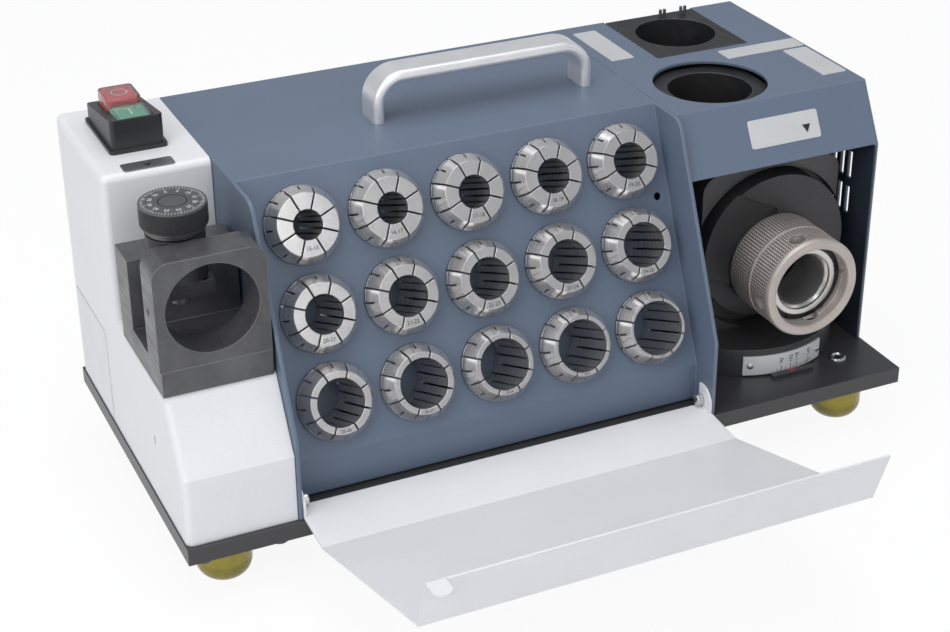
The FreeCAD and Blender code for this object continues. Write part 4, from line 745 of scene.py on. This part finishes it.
# Plain size figures on the lowest segment of each collet's face
TALLEST_FIGURE_MM = 3.0
for bore in COLLET_BORES:
    width_mm = FACE_RADIUS_MM - bore / 2
    height_mm = min(width_mm * 0.72, TALLEST_FIGURE_MM)
    face = stood(*collet_place(bore), (1, 0, 0), (0, math.sin(LEAN), math.cos(LEAN)))
    lowered = face @ Matrix.Translation((0, -(FACE_RADIUS_MM - width_mm / 2) / 1000, 0))
    words(f"collet_{bore}_number", f"{bore - 1}-{bore}", height_mm, lowered, f"collet_{bore}",
          "black_ink", 0.04)


# Stage, light and camera

FLOOR_REACH = 30
FLOOR_GLOW = 0.92
WORLD_STRENGTH = 0.4
CAMERA_MM = (-202.34, -793.62, 568.53)
CAMERA_FORWARD = (0.36463587, 0.80050715, -0.47563535)
CAMERA_RIGHT = (0.90848897, -0.41785374, -0.00678512)
CAMERA_LENS = 74.08


def build_floor():
    corners = [(x * FLOOR_REACH, y * FLOOR_REACH, 0) for x, y in ((-1, -1), (1, -1), (1, 1), (-1, 1))]
    mesh = mesh_of("floor", corners, [[0, 1, 2, 3]])
    floor = bpy.data.objects.new("floor", mesh)
    bpy.context.scene.collection.objects.link(floor)
    material = bpy.data.materials.new("floor_white")
    material.use_nodes = True
    tree = material.node_tree
    shader = tree.nodes["Principled BSDF"]
    shader.inputs["Base Color"].default_value = (0.86, 0.86, 0.87, 1)
    shader.inputs["Roughness"].default_value = 0.9
    shader.inputs["Specular IOR Level"].default_value = 0.1
    glow = tree.nodes.new("ShaderNodeEmission")
    glow.inputs["Color"].default_value = (1, 1, 1, 1)
    mix = tree.nodes.new("ShaderNodeMixShader")
    tree.links.new(seen_ray(tree, FLOOR_GLOW), mix.inputs["Fac"])
    tree.links.new(shader.outputs["BSDF"], mix.inputs[1])
    tree.links.new(glow.outputs["Emission"], mix.inputs[2])
    tree.links.new(mix.outputs["Shader"], tree.nodes["Material Output"].inputs["Surface"])
    mesh.materials.append(material)


def seen_ray(tree, share):
    """A share for rays that the camera, a mirror or glass sends, and none for others."""
    path = tree.nodes.new("ShaderNodeLightPath")
    total = path.outputs["Is Camera Ray"]
    for name in ("Is Glossy Ray", "Is Transmission Ray"):
        node = tree.nodes.new("ShaderNodeMath")
        node.operation = "MAXIMUM"
        tree.links.new(total, node.inputs[0])
        tree.links.new(path.outputs[name], node.inputs[1])
        total = node.outputs["Value"]
    node = tree.nodes.new("ShaderNodeMath")
    node.operation = "MULTIPLY"
    tree.links.new(total, node.inputs[0])
    node.inputs[1].default_value = share
    return node.outputs["Value"]


def build_world():
    world = bpy.data.worlds.new("studio")
    bpy.context.scene.world = world
    world.use_nodes = True
    back = world.node_tree.nodes["Background"]
    back.inputs["Color"].default_value = (0.95, 0.97, 1.0, 1)
    back.inputs["Strength"].default_value = WORLD_STRENGTH


def softbox(name, place, target, size, power):
    data = bpy.data.lights.new(name, "AREA")
    data.shape = "RECTANGLE"
    data.size, data.size_y = size
    data.energy = power
    lamp = bpy.data.objects.new(name, data)
    bpy.context.scene.collection.objects.link(lamp)
    lamp.location = place
    lamp.rotation_euler = (Vector(target) - Vector(place)).to_track_quat("-Z", "Y").to_euler()


def build_camera():
    forward = Vector(CAMERA_FORWARD)
    right = Vector(CAMERA_RIGHT)
    up = right.cross(forward)
    data = bpy.data.cameras.new("camera")
    data.sensor_width = 36
    data.sensor_fit = "HORIZONTAL"
    data.lens = CAMERA_LENS
    data.clip_end = 100
    camera = bpy.data.objects.new("camera", data)
    bpy.context.scene.collection.objects.link(camera)
    turn = Matrix((right, up, -forward)).transposed().to_4x4()
    camera.matrix_world = Matrix.Translation(spot(*CAMERA_MM)) @ turn
    bpy.context.scene.camera = camera


SOFTBOXES = {
    "top_box": {"place": (-0.15, 0.05, 1.5), "target": (0, 0, 0.1), "size": (1.6, 1.2), "power": 13},
    "left_box": {"place": (-1.35, -0.75, 0.95), "target": (0, 0, 0.1), "size": (1.0, 1.2), "power": 11},
    "rack_box": {"place": (-0.1, -1.35, 0.85), "target": (0, 0.05, 0.13), "size": (0.8, 0.6), "power": 3.7},
    "right_box": {"place": (1.4, -0.5, 0.9), "target": (0.1, 0, 0.1), "size": (0.8, 1.0), "power": 1.6},
}
build_floor()
build_world()
for box_name, box in SOFTBOXES.items():
    softbox(box_name, **box)
build_camera()
bpy.context.scene.view_settings.view_transform = "Standard"
